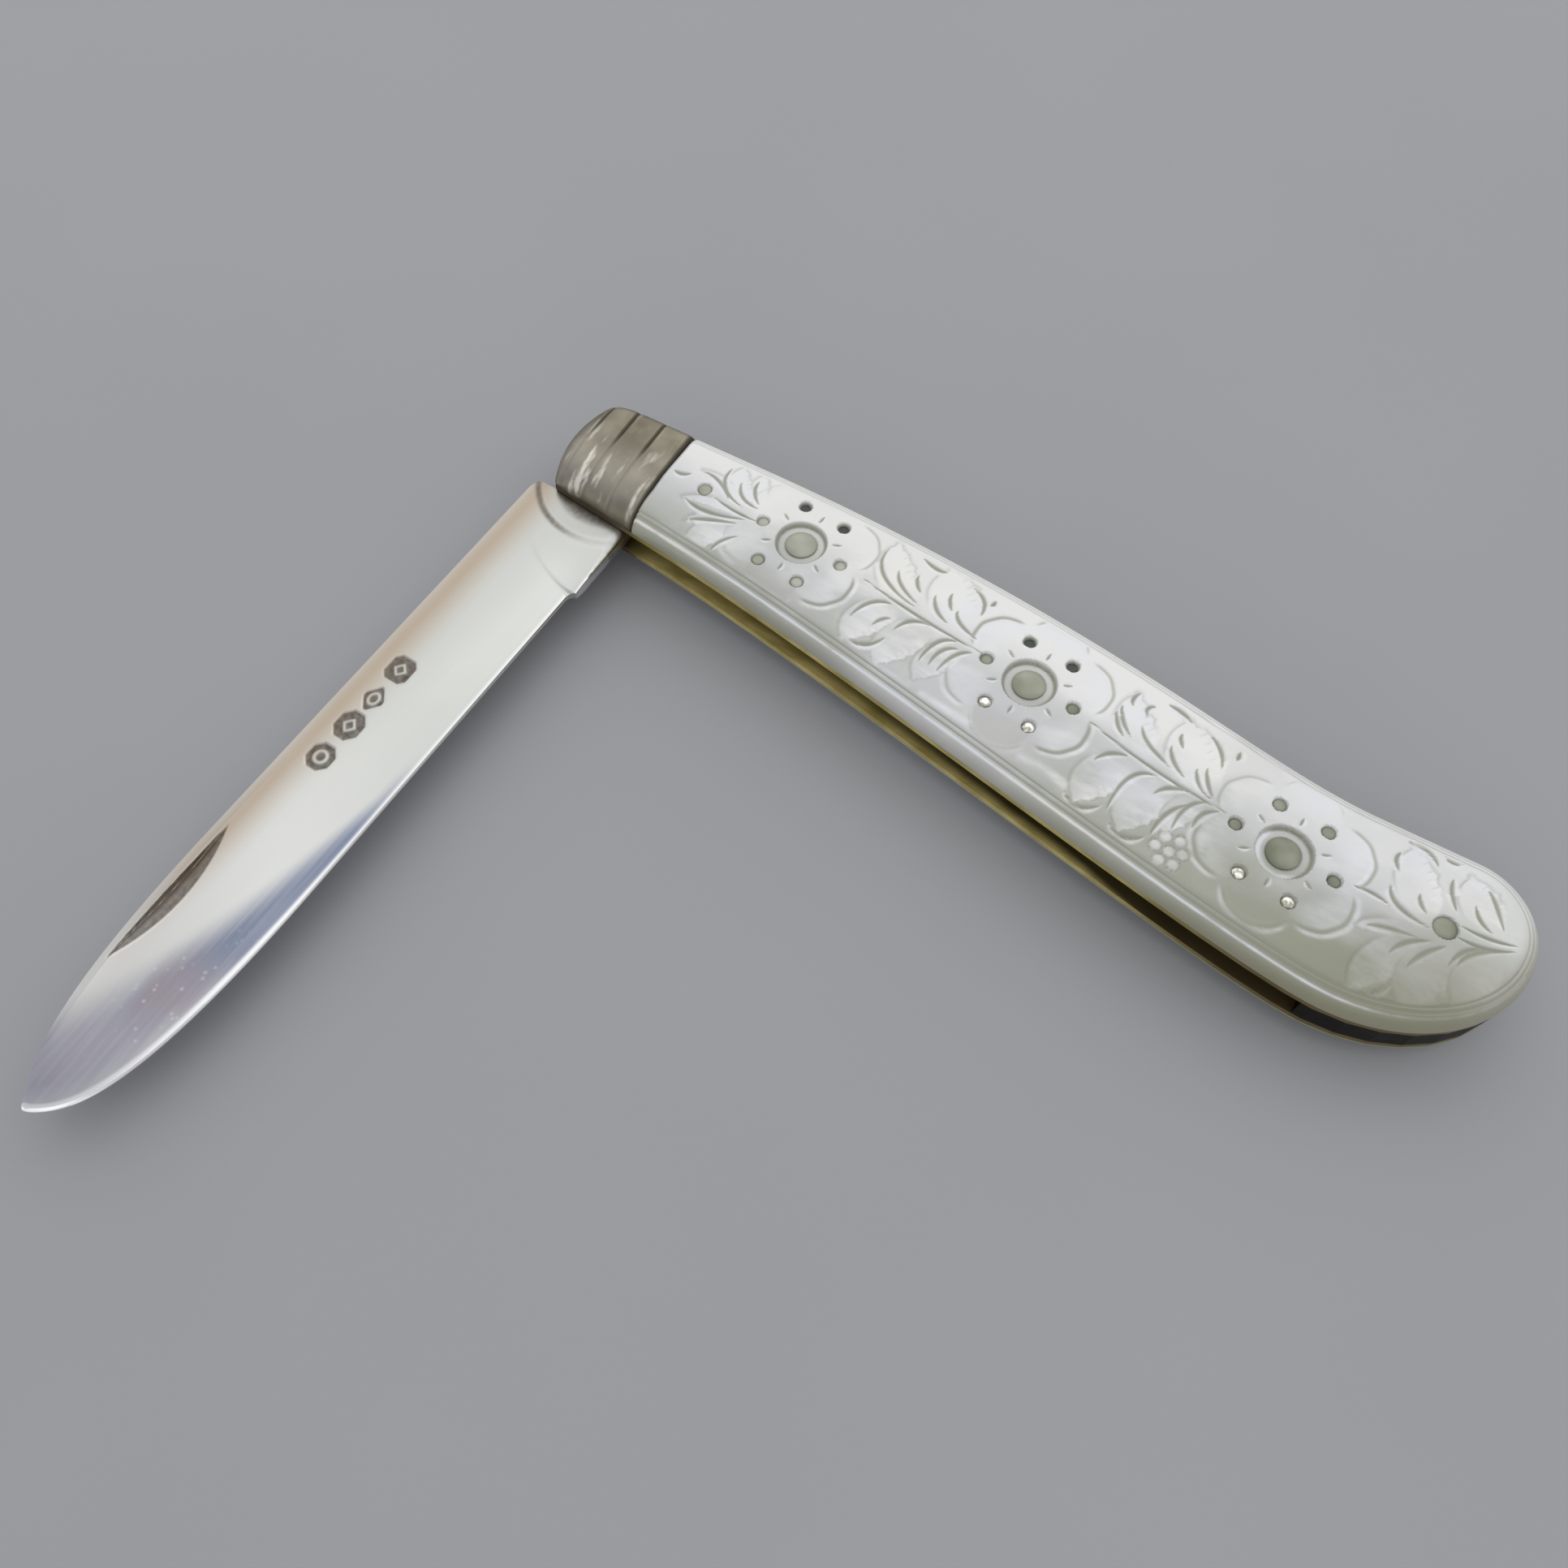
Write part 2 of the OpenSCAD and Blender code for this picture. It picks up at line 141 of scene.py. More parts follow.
def tint(mask, colour, other):
    """One colour where the mask is 0, and the other where it is 1."""
    first, second = (c if isinstance(c, Wire) else (*c, 1) for c in (colour, other))
    return mask.node("ShaderNodeMix", {"data_type": "RGBA"}, {0: mask, 6: first, 7: second}, out=2)


def step(wire, low, high):
    """0 below low, 1 above high, and smooth between them."""
    settings = {"interpolation_type": "SMOOTHSTEP"}
    return wire.node("ShaderNodeMapRange", settings, {"Value": wire, "From Min": low, "From Max": high})


def noise(place, size, detail=3.0, stretch=(1, 1, 1)):
    """Noise whose lumps are about size metres wide, drawn out along an axis by stretch."""
    scaled = place.node("ShaderNodeMapping", {}, {"Vector": place, "Scale": stretch})
    return place.node("ShaderNodeTexNoise", {}, {"Vector": scaled, "Scale": 1 / size, "Detail": detail})


def bump(height, strength, distance):
    """A normal that follows a height."""
    return height.node("ShaderNodeBump", {}, {"Strength": strength, "Distance": distance, "Height": height})


def axis(place, letter):
    """One coordinate of a place."""
    return place.node("ShaderNodeSeparateXYZ", {}, {0: place}, out="XYZ".index(letter))


def mark(place, name):
    """A mask that was painted on the mesh, point by point."""
    return place.node("ShaderNodeAttribute", {"attribute_name": name}, {}, out="Fac")


print("finish helpers ready")

# %% [markdown]
# ## The studio
# The knife lies on a pale lilac grey table. A grid is enough for it, because all it does is catch the
# shadows. It lies a hair below the knife, so that no two faces share a plane.

# %% Table
TABLE_REACH = 1.5
TABLE_GAP = 0.02
bm = bmesh.new()
bmesh.ops.create_grid(bm, x_segments=8, y_segments=8, size=TABLE_REACH)
bmesh.ops.translate(bm, vec=(0, 0, -TABLE_GAP * MM), verts=bm.verts)
table_mesh = bpy.data.meshes.new("table")
bm.to_mesh(table_mesh)
bm.free()
table = bpy.data.objects.new("table", table_mesh)
bpy.context.collection.objects.link(table)
table_finish, shader, place = new_finish("table_paint")
cloud = noise(place, 0.05, 4)
plug(shader, {
    "Base Color": tint(cloud, (0.345, 0.35, 0.37), (0.38, 0.385, 0.405)),
    "Roughness": 0.6,
})
table_mesh.materials.append(table_finish)
print("table", TABLE_REACH * 2, "m wide")

# %% [markdown]
# Polished silver is a picture of what is around it, so the lamps are large, near and weak: a window
# behind the knife on the left, the ceiling, and a card in front. The world stands for the walls. It has
# a dim band between two pale ones, and the blade's tip mirrors that band.


# %% Lamps
def softbox(name, place, aim, width, height, watts, colour):
    """A rectangular lamp at a place, turned to its aim. Both are in millimetres."""
    lamp = bpy.data.lights.new(name, "AREA")
    lamp.shape = "RECTANGLE"
    lamp.size = width * MM
    lamp.size_y = height * MM
    lamp.energy = watts
    lamp.color = colour
    holder = bpy.data.objects.new(name, lamp)
    holder.location = Vector(place) * MM
    holder.rotation_euler = (Vector(aim) - Vector(place)).to_track_quat("-Z", "Y").to_euler()
    bpy.context.collection.objects.link(holder)


MIDDLE = (28, -20, 0)
softbox("window", (-330, 380, 420), MIDDLE, 1000, 700, 0.70, (1.0, 0.985, 0.96))
softbox("ceiling", (160, 160, 620), MIDDLE, 800, 800, 0.70, (0.97, 0.98, 1.0))
softbox("front_card", (-60, -400, 560), MIDDLE, 300, 220, 0.12, (1.0, 1.0, 1.0))
room = bpy.data.worlds.new("room")
room.use_nodes = True
around = Wire(room.node_tree.nodes.new("ShaderNodeTexCoord").outputs["Generated"])
depth_way = axis(around, "Y")
far_side, near_side = step(depth_way, -0.34, 0.1), 1 - step(depth_way, -0.8, -0.38)
walls = tint(far_side, (0.49, 0.49, 0.53), (0.71, 0.71, 0.70))
plug(room.node_tree.nodes["Background"], {"Color": tint(near_side, walls, (0.85, 0.85, 0.84))})
bpy.context.scene.world = room

# %% [markdown]
# ## Pieces from meshes
# Each new piece is shaped in millimetres in a bmesh. This function brings it to metres, smooths it
# up to an angle so that crisp edges stay crisp, gives it its finish, hangs it on the empty of the body
# that carries it, and hides the CAD nodes it takes the place of. Masks for the finish, such as dirt and
# painted shade, are painted on the points before that.


# %% From bmesh to piece
def piece(bm, name, finish, nodes=(), body="handle", crisp=35):
    """Makes a finished piece of a bmesh and frees the bmesh."""
    bmesh.ops.scale(bm, vec=(MM, MM, MM), verts=bm.verts)
    mesh = bpy.data.meshes.new(name)
    bm.to_mesh(mesh)
    bm.free()
    mesh.shade_smooth()
    mesh.set_sharp_from_angle(angle=math.radians(crisp))
    mesh.materials.append(finish)
    made = bpy.data.objects.new(name, mesh)
    bpy.context.collection.objects.link(made)
    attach(made, body)
    if nodes:
        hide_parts(*nodes)
    mesh.calc_loop_triangles()
    print(name, len(mesh.loop_triangles), "triangles")


def settle(bm, points):
    """Moves every vertex of a bmesh to its own row of a list of points."""
    for vertex, point in zip(bm.verts, points):
        vertex.co = point


def paint(bm, name, values):
    """Writes a mask on the vertices of a bmesh, for its finish to read."""
    layer = bm.verts.layers.float.new(name)
    for vertex, value in zip(bm.verts, values):
        vertex[layer] = value


print("pieces are scaled by", MM)

# %% [markdown]
# ## The handle's outline
# Both scales share one outline: a long curve along the mouth, an elliptic corner round the tail, a
# tighter corner, and a long curve along the back. The same points and pulls draw the CAD scale. The
# mesh needs a row of points along each side at the same distances from the pivot, so that the two
# sides meet on the handle's middle line, and a fan of points round the tail.

# %% Outline
TAIL = 75.2
TAIL_BACK = 0.5
JOINT = 4.4
HEAD_BACK, HEAD_MOUTH = 6.0, -4.0
MOUTH_SLOPE, MOUTH_PULL = math.radians(6.2), 17.7
MOUTH_END = Vector((63.7, -14.3))
TAIL_R = 5.4
POLE_X = 68.9
SIDE_STEPS, TAIL_STEPS = 640, 220


def arc(centre, rx, ry, start, end, count):
    """Points of an elliptic arc, with its angles in degrees."""
    turn = np.radians(np.linspace(start, end, count))
    return np.stack([centre[0] + rx * np.cos(turn), centre[1] + ry * np.sin(turn)], axis=1)


def curve(start, pull, pull_end, end, count=160):
    """Points of a curve that leaves start by one pull and comes to end by the other."""
    places = (start, Vector(start) + Vector(pull), Vector(end) + Vector(pull_end), end)
    knots = [Vector(p).to_3d() for p in places]
    return np.array([p[:2] for p in geometry.interpolate_bezier(*knots, count)])


corner = (TAIL - TAIL_R, TAIL_BACK - TAIL_R)
mouth_pull = (MOUTH_PULL * math.cos(MOUTH_SLOPE), -MOUTH_PULL * math.sin(MOUTH_SLOPE))
mouth = np.concatenate([
    curve((JOINT, HEAD_MOUTH), mouth_pull, (-7.7, 0), MOUTH_END),
    arc((MOUTH_END.x, corner[1]), TAIL - MOUTH_END.x, corner[1] - MOUTH_END.y, -90, 0, 240)[1:],
])
back = np.concatenate([
    [(JOINT, HEAD_BACK)],
    curve((10, HEAD_BACK), (30, 0), (-9.7, 0), (62.7, TAIL_BACK)),
    arc(corner, TAIL_R, TAIL_R, 90, 0, 240),
])


def even(points, count):
    """The same line with its points evenly spaced."""
    run = np.concatenate([[0], np.cumsum(np.hypot(*np.diff(points, axis=0).T))])
    at = np.linspace(0, run[-1], count)
    return np.stack([np.interp(at, run, points[:, 0]), np.interp(at, run, points[:, 1])], axis=1)


def two_sides(lower, upper, start, end, count):
    """Rows of points on two sides of a piece at the same places along X, and on the line between."""
    x = np.linspace(start, end, count)
    low = np.interp(x, lower[:, 0], lower[:, 1])
    high = np.interp(x, upper[:, 0], upper[:, 1])
    return [np.stack([x, y], axis=1) for y in (low, high, (low + high) / 2)]


mouth_row, back_row, middle_row = two_sides(mouth, back, JOINT, POLE_X, SIDE_STEPS)
tail_row = even(np.concatenate([
    mouth_row[-1:], mouth[mouth[:, 0] > POLE_X], back[back[:, 0] > POLE_X][::-1], back_row[-1:]]), TAIL_STEPS)
scale_line = np.concatenate([mouth_row, tail_row[1:-1], back_row[::-1]])
middle_end = np.repeat(middle_row[-1:], TAIL_STEPS - 2, axis=0)
scale_middle = np.concatenate([middle_row, middle_end, middle_row[::-1]])
print("outline of", len(scale_line), "points,", round(float(np.ptp(scale_line[:, 0])), 1), "mm long")

# %% [markdown]
# ## A cheek
# A cheek is one side of the handle, scale or bolster: an upright foot on the liner, a rolled edge and
# a slightly crowned face. A block with bevelled edges would do for a plain one, but the carving needs
# an even, dense surface. So a grid is laid over it: its columns run from the outline to the middle
# line, and its rows go up the foot, round the roll and over the face. The rows are closest where the
# border will be cut.

# %% Laying a cheek
SCALE_T = 2.2
FOOT, SLANT_FOOT = 0.3, 0.04
LEAN_FROM, LEAN_TO = math.radians(20), math.radians(80)
ROLL_SHARES = np.concatenate([
    1 - np.cos(np.linspace(0, 0.6, 6)), np.linspace(0.21, 0.63, 12), np.linspace(0.7, 1, 4)])


def smooth(share):
    """An even ease from 0 to 1."""
    share = np.clip(share, 0, 1)
    return share * share * (3 - 2 * share)


def quarter(share):
    """Height of a quarter of a circle at a share of its width. It is level from there on."""
    return np.sqrt(1 - (1 - np.clip(share, 0, 1)) ** 2)


def round_roll(share):
    """Height of the upper cheek's roll at a share of its width."""
    return FOOT / SCALE_T + (1 - FOOT / SCALE_T) * quarter(share)


def slant_roll(share):
    """Height of the lower cheek's roll, which leans in from the liner on."""
    lean = np.linspace(LEAN_FROM, LEAN_TO, 60)
    across = (math.cos(LEAN_FROM) - np.cos(lean)) / (math.cos(LEAN_FROM) - math.cos(LEAN_TO))
    up = (np.sin(lean) - math.sin(LEAN_FROM)) / (math.sin(LEAN_TO) - math.sin(LEAN_FROM))
    return SLANT_FOOT + (1 - SLANT_FOOT) * np.interp(share, across, up)


def cheek(line, middle, roll, profile, crown, face_rows):
    """A bmesh grid for a cheek, and arrays of its points and of their distance in from the outline."""
    bm = bmesh.new()
    columns, rows = len(line) - 1, len(ROLL_SHARES) + face_rows
    bmesh.ops.create_grid(bm, x_segments=columns, y_segments=rows, size=1)
    spot = np.array([v.co for v in bm.verts])
    i = np.rint((spot[:, 0] + 1) / 2 * columns).astype(int)
    j = np.rint((spot[:, 1] + 1) / 2 * rows).astype(int)
    reach = np.hypot(*(middle - line).T)
    inward = (middle - line) / reach[:, None]
    run = np.gradient(line, axis=0)
    run /= np.hypot(*run.T)[:, None]
    square = np.clip(inward[:, 1] * run[:, 0] - inward[:, 0] * run[:, 1], 0.5, 1)
    on_roll = ROLL_SHARES[np.clip(j - 1, 0, len(ROLL_SHARES) - 1)]
    share = np.clip((j - len(ROLL_SHARES)) / face_rows, 0, 1)
    travel = roll[i] * on_roll / square[i] + share * (reach[i] - roll[i] / square[i])
    z = (SCALE_T - crown) * profile(on_roll) + crown * smooth(share)
    z[j == 0] = 0
    xy = line[i] + inward[i] * travel[:, None]
    return bm, xy[:, 0].copy(), xy[:, 1].copy(), z, travel * square[i], j > 1


print("a roll of", len(ROLL_SHARES), "rows")

# %% [markdown]
# The grid still has to become a solid. Where its columns meet on the middle line their points are
# merged, one edge is drawn across the foot of the joint, and the two open loops are filled. The lower
# cheek is mirrored, so its faces are reversed.

# %% Closing a cheek
SIDES = {"upper": True, "lower": False}
LOWER_TOP, UPPER_FOOT = 2.2, 5.2
JOINT_EASE, JOINT_DROP = 0.45, 0.3
LEAST_T = 0.02


def close_cheek(bm, joint):
    """Merges the middle line and fills the joint and the underside."""
    bmesh.ops.remove_doubles(bm, verts=bm.verts, dist=1e-5)
    feet = [v for v in bm.verts if abs(v.co.x - joint) < 1e-4 and abs(v.co.z) < 1e-4]
    bmesh.ops.contextual_create(bm, geom=[min(feet, key=lambda v: v.co.y), max(feet, key=lambda v: v.co.y)])
    rim = [e for e in bm.edges if len(e.link_faces) < 2]
    for test in (lambda v: abs(v.co.x - joint) < 1e-4, lambda v: abs(v.co.z) < 1e-4):
        bmesh.ops.edgeloop_fill(bm, edges=[e for e in rim if all(test(v) for v in e.verts)])
    bmesh.ops.recalc_face_normals(bm, faces=bm.faces)


def to_side(bm, upper):
    """Puts a cheek on the upper or the lower liner."""
    if upper:
        bmesh.ops.translate(bm, vec=(0, 0, UPPER_FOOT), verts=bm.verts)
    else:
        bmesh.ops.scale(bm, vec=(1, 1, -1), verts=bm.verts)
        bmesh.ops.translate(bm, vec=(0, 0, LOWER_TOP), verts=bm.verts)
        bmesh.ops.reverse_faces(bm, faces=bm.faces)


def set_cheek(bm, upper, joint, places, **masks):
    """Shapes a cheek, paints its masks, closes it and puts it on its liner."""
    settle(bm, np.stack(places, axis=1))
    for name, values in masks.items():
        paint(bm, name, values)
    close_cheek(bm, joint)
    to_side(bm, upper)


def joint_ease(gap):
    """How far an edge is rounded off at a gap from the joint between scale and bolster."""
    return JOINT_DROP * (1 - np.clip(gap / JOINT_EASE, 0, 1)) ** 2


print("cheeks go", UPPER_FOOT, "mm up and", LOWER_TOP, "mm down")

# %% [markdown]
# ## Carving
# The ornament is cut into the pearl with a graver: flowers round the rivets, sprays of leaves between
# them, and a double line along the rim. Modelled curve by curve it would be hundreds of objects. Here
# each cut is a shape in the plane, and every point of the cheek goes down as far as the deepest cut
# above it. The same cut leaves a darker mark, partly stain, because old grooves hold polish and dirt,
# and partly painted shade. Where a face of the cut would catch the light, it gets a painted gleam.


# %% The graver
LIP = 0.17


class Carving:
    """Depth, stain with painted shade, and painted gleam of all the cuts, point by point."""

    def __init__(self, x, y):
        self.x, self.y = x, y
        self.depth, self.stain, self.gleam = np.zeros((3, len(x)))

    def near(self, path, margin):
        """Numbers of the points that lie within a margin of a path's box."""
        low, high = path.min(axis=0) - margin, path.max(axis=0) + margin
        inside = (self.x > low[0]) & (self.x < high[0]) & (self.y > low[1]) & (self.y < high[1])
        return np.flatnonzero(inside)

    def sink(self, picked, depth, stain, gleam=0):
        """Takes points down to a depth, unless a cut there is deeper."""
        self.depth[picked] = np.maximum(self.depth[picked], depth)
        self.stain[picked] = np.maximum(self.stain[picked], stain)
        self.gleam[picked] = np.maximum(self.gleam[picked], gleam)

    def drill(self, centre, radius, depth, stain):
        """A round hole with a worn lip. It takes the place of any cut above it."""
        out = np.hypot(self.x - centre[0], self.y - centre[1])
        inside = 1 - smooth((out - radius) / LIP + 0.5)
        self.depth += (depth - self.depth) * inside
        self.stain += (stain - self.stain) * inside
        self.gleam *= 1 - inside


def beside(x, y, path):
    """Distance of points from a path, the side they lie on, how far along and how far behind it they lie."""
    gap = np.full(len(x), np.inf)
    side, share, behind = np.zeros((3, len(x)))
    for n in range(len(path) - 1):
        (ax, ay), (bx, by) = path[n], path[n + 1]
        dx, dy = bx - ax, by - ay
        t = np.clip(((x - ax) * dx + (y - ay) * dy) / (dx * dx + dy * dy), 0, 1)
        px, py = x - ax - t * dx, y - ay - t * dy
        away = np.hypot(px, py)
        nearer = away < gap
        gap = np.where(nearer, away, gap)
        side = np.where(nearer, np.sign(dx * py - dy * px), side)
        share = np.where(nearer, (n + t) / (len(path) - 1), share)
        behind = np.where(nearer, py - 0.4 * px, behind)
    return gap, side, share, behind


print("graver with a lip of", LIP, "mm")

# %% [markdown]
# A stroke is a smooth line, given by its ends and a bend or by three places on it. The graver goes in,
# digs deepest halfway and comes out again, so its cut swells and thins. Its middle is darkened with
# stain and painted shade, and the flank that faces the window gets a painted highlight beside the dark
# line.


# %% Strokes
def sweep(start, pull, end, count=15):
    """Points from start to end on a line that leans towards a pull."""
    t = np.linspace(0, 1, count)[:, None]
    return start * (1 - t) ** 2 + 2 * pull * t * (1 - t) + end * t ** 2


def bow(start, end, bend):
    """A bent stroke from start to end. The bend is a share of its length, to its left."""
    start, end = np.array([start, end], float)
    run = end - start
    return sweep(start, (start + end) / 2 + 2 * bend * np.array([-run[1], run[0]]), end)


def through(start, middle, end):
    """A smooth stroke through three places."""
    start, middle, end = np.array([start, middle, end], float)
    return sweep(start, 2 * middle - (start + end) / 2, end)


def ridge(gap, width):
    """A round-bottomed cut: 1 on its middle line and 0 from its edge outwards."""
    return np.clip(1 - (gap / np.maximum(width, 0.01)) ** 2, 0, 1) ** 2


def stroke(carving, path, width, depth, stain=0.75):
    """One cut of the graver, which thins out at both ends. Its near flank, which faces the window, gets a
    painted highlight.
    """
    picked = carving.near(path, 2.2 * width)
    gap, _, share, behind = beside(carving.x[picked], carving.y[picked], path)
    swell = np.sin(np.pi * np.clip(share, 0.02, 0.98)) ** 0.6
    cut = ridge(gap, width * swell) * smooth(swell / 0.4)
    # the cut's middle gets stain and painted shade, and the flank that faces the window a painted highlight
    lit = ridge(gap - width * swell, 0.9 * width * swell) * (behind < 0) * smooth(swell / 0.5)
    carving.sink(picked, depth * swell * cut, stain * cut, lit)
    carving.stain[picked] *= 1 - lit


print("a stroke has", len(bow((0, 0), (1, 0), 0)), "points")

# %% [markdown]
# A leaf is hollowed a little to one side, and its face gets a painted sheen, brightest where it is
# hollowed deepest. It has a soft cut round its edge, and its outer side is scalloped, with short veins.
# All of this follows from two numbers at each point: how far along the leaf it lies, and how far out
# towards the edge.


# %% Leaves
LEAF_DEPTH, EDGE_DEPTH = 0.15, 0.11
EDGE_W = 0.26
SCALLOPS, VEINS, VEIN_DEPTH = 5, 9, 0.04


def leaf(carving, base, tip, width, bend):
    """One leaf from its base on the stem to its tip. It covers what was cut below it."""
    path = bow(base, tip, bend)
    picked = carving.near(path, width)
    gap, side, share, _ = beside(carving.x[picked], carving.y[picked], path)
    half = width / 2 * np.sin(np.pi * np.clip(share, 0.02, 0.985) ** 1.2) ** 0.6
    outer = side * np.sign(bend) < 0
    half *= 1 - 0.14 * outer * smooth((share - 0.3) / 0.2) * np.abs(np.cos(np.pi * SCALLOPS * share))
    out = side * gap / half
    inside = np.abs(out) < 1
    slope = 0.15 + 0.85 * (0.5 - 0.5 * out * np.sign(bend))
    edge = ridge(gap - half, EDGE_W) * smooth((share - 0.25) / 0.4)
    depth = LEAF_DEPTH * slope * (1 - np.clip(np.abs(out), 0, 1) ** 6) * smooth(share / 0.3)
    veins = np.clip(np.cos(2 * np.pi * VEINS * (share - 0.1 * np.abs(out))), 0, 1) ** 3
    veins *= outer * smooth((np.abs(out) - 0.3) / 0.3) * smooth((share - 0.3) / 0.2)
    within = picked[inside]
    carving.depth[within] = (depth + VEIN_DEPTH * veins)[inside]
    carving.stain[within] = 0.3 * veins[inside]
    # painted sheen on the leaf's face, brighter on the deeper side of its slope
    carving.gleam[within] = ((0.25 + 0.75 * slope) * smooth(share / 0.35))[inside]
    carving.sink(picked, EDGE_DEPTH * edge, 0.34 * edge)


print("leaves with", SCALLOPS, "scallops")

# %% [markdown]
# The places below are in millimetres from the pivot, along the handle and across it. A leaf has its
# base on a stem, its tip, its width and its bend. A cut goes through three places. The cuts are the
# midribs and the long strokes beside them, listed spray by spray from the head to the tail.

# %% Places of the leaves and cuts
LEAVES = [
    ((12.6, 1.5), (11.5, 4.8), 1.7, 0.06), ((12.3, 1.3), (9.7, 4.7), 2.1, 0.16),
    ((11.8, 0.9), (6.9, 2.8), 0.9, -0.10), ((12.4, 0.2), (6.9, -0.3), 0.9, -0.08),
    ((12.3, -0.3), (8.2, -2.1), 1.2, -0.06), ((12.5, -0.9), (9.4, -4.0), 2.4, -0.10),
    ((28.2, -0.7), (23.8, 4.0), 3.3, 0.16), ((31.7, -0.9), (28.4, 3.9), 4.2, 0.04),
    ((27.0, -1.2), (24.0, -5.6), 3.1, -0.12), ((29.9, -1.6), (27.1, -6.3), 3.2, -0.12),
    ((32.7, -2.1), (30.2, -6.1), 2.6, -0.12),
    ((48.4, -4.1), (44.8, 0.6), 3.1, 0.16), ((52.3, -4.8), (48.8, 0.3), 4.2, 0.04),
    ((47.3, -4.6), (44.2, -9.3), 3.3, -0.12), ((50.0, -5.0), (47.7, -9.9), 3.2, -0.10),
    ((52.2, -5.3), (50.4, -8.6), 2.0, -0.14),
    ((68.2, -6.5), (65.6, -1.4), 3.1, 0.06), ((72.2, -4.9), (69.5, -1.6), 3.1, 0.05),
    ((67.6, -7.3), (63.8, -8.7), 1.1, -0.06), ((68.5, -7.3), (64.8, -12.8), 2.7, -0.06),
    ((70.2, -6.8), (68.0, -12.5), 3.3, -0.06), ((72.6, -6.0), (71.2, -10.9), 2.9, -0.05),
]
STEMS = [
    ((13.4, 0.4), (8.9, 0.9), 0.04),
    ((33.9, -1.9), (22.6, -0.2), 0.02),
    ((54.0, -5.3), (42.2, -3.1), 0.03),
    ((65.4, -6.4), (62.6, -6.2), -0.10), ((73.4, -4.9), (69.6, -5.4), 0.05), ((73.4, -5.3), (69.6, -6.3), 0.08),
]
HEAD_CUTS = [
    ((8.9, 4.2), (9.3, 2.2), (11.7, 1.0)), ((10.2, 3.4), (11.0, 2.0), (12.9, 1.5)),
    ((11.4, 4.1), (11.6, 2.9), (12.6, 1.9)), ((7.0, 2.7), (8.7, 2.4), (10.3, 1.1)),
    ((7.1, -0.2), (9.3, -0.6), (12.6, 0.2)), ((8.2, -2.1), (9.8, -1.2), (12.1, -0.5)),
    ((11.5, -3.6), (11.7, -2.5), (12.7, -1.4)), ((5.0, 1.6), (5.7, 1.6), (6.4, 2.0)),
]
FIRST_CUTS = [
    ((23.3, 3.4), (24.1, 0.8), (28.0, -0.8)), ((24.9, 1.9), (25.6, 0.7), (27.7, -0.4)),
    ((28.3, 1.2), (28.9, 0.0), (30.3, -0.8)), ((30.4, 0.8), (30.9, -0.2), (32.8, -1.0)),
    ((30.4, 3.2), (31.7, 2.4), (32.0, 1.0)), ((25.9, 3.8), (27.2, 3.4), (28.2, 3.5)),
    ((26.4, 2.2), (26.6, 1.4), (27.3, 0.7)), ((29.3, 2.0), (29.5, 1.1), (30.0, 0.4)),
    ((26.0, -1.3), (24.4, -1.9), (23.6, -3.9)), ((29.3, -1.6), (27.8, -1.9), (27.0, -3.3)),
    ((31.7, -1.9), (30.3, -2.6), (29.8, -4.9)), ((32.0, -2.4), (30.9, -3.1), (30.6, -4.8)),
    ((33.0, -2.2), (31.9, -3.0), (31.3, -4.9)), ((24.2, -5.5), (25.8, -5.3), (26.8, -4.0)),
    ((26.4, -2.4), (25.8, -2.8), (25.4, -3.6)), ((32.4, 2.9), (32.4, 2.6), (32.2, 2.3)),
]
SECOND_CUTS = [
    ((44.1, -0.7), (44.6, -1.9), (45.7, -3.0)), ((43.9, -1.3), (44.4, -2.4), (45.2, -3.2)),
    ((46.0, -1.6), (46.9, -2.8), (49.3, -4.0)), ((48.4, -2.1), (48.9, -3.2), (50.2, -4.2)),
    ((50.6, -2.9), (51.1, -4.0), (52.4, -4.9)), ((51.2, -2.5), (51.6, -3.6), (52.4, -4.7)),
    ((50.3, 0.1), (51.5, -0.8), (52.1, -2.2)), ((44.9, 0.9), (44.6, 0.2), (44.8, -0.5)),
    ((46.3, 0.3), (45.8, -0.1), (46.0, -0.8)), ((46.9, 0.9), (48.0, 0.8), (49.0, 0.3)),
    ((48.7, -0.8), (48.8, -1.4), (49.2, -2.0)), ((52.7, -0.2), (52.8, -0.6), (52.7, -1.0)),
    ((46.2, -4.5), (44.9, -4.9), (44.1, -6.0)), ((48.5, -5.0), (46.8, -6.0), (46.4, -9.2)),
    ((50.9, -5.0), (49.5, -5.4), (48.7, -6.4)), ((51.2, -5.9), (50.1, -7.3), (49.7, -9.4)),
    ((52.2, -5.2), (51.1, -6.2), (50.8, -8.4)), ((53.2, -5.4), (52.2, -6.2), (52.0, -7.6)),
    ((43.3, -9.1), (44.6, -9.7), (46.0, -8.9)), ((46.9, -9.8), (48.2, -10.3), (49.5, -9.6)),
]
TAIL_CUTS = [
    ((64.9, -4.7), (65.7, -6.0), (68.1, -6.6)), ((64.9, -1.1), (66.3, -1.1), (67.3, -2.0)),
    ((64.8, -2.1), (64.7, -2.8), (65.1, -3.6)), ((68.4, -2.3), (68.6, -3.3), (69.2, -4.6)),
    ((70.2, -3.4), (70.7, -4.3), (71.7, -4.9)), ((70.6, -1.9), (71.4, -2.8), (72.3, -4.4)),
    ((67.4, -0.9), (68.0, -1.1), (68.7, -0.9)), ((66.8, -4.4), (67.0, -5.1), (67.6, -5.7)),
    ((64.3, -8.4), (65.6, -7.9), (67.5, -7.6)), ((66.2, -9.6), (67.0, -8.3), (68.4, -7.4)),
    ((67.5, -10.0), (68.2, -8.5), (69.4, -7.2)), ((69.8, -8.5), (70.5, -7.0), (71.8, -6.1)),
    ((70.3, -8.3), (71.0, -6.9), (72.6, -5.8)), ((63.9, -12.9), (65.6, -13.2), (67.2, -11.2)),
]
CUTS = HEAD_CUTS + FIRST_CUTS + SECOND_CUTS + TAIL_CUTS
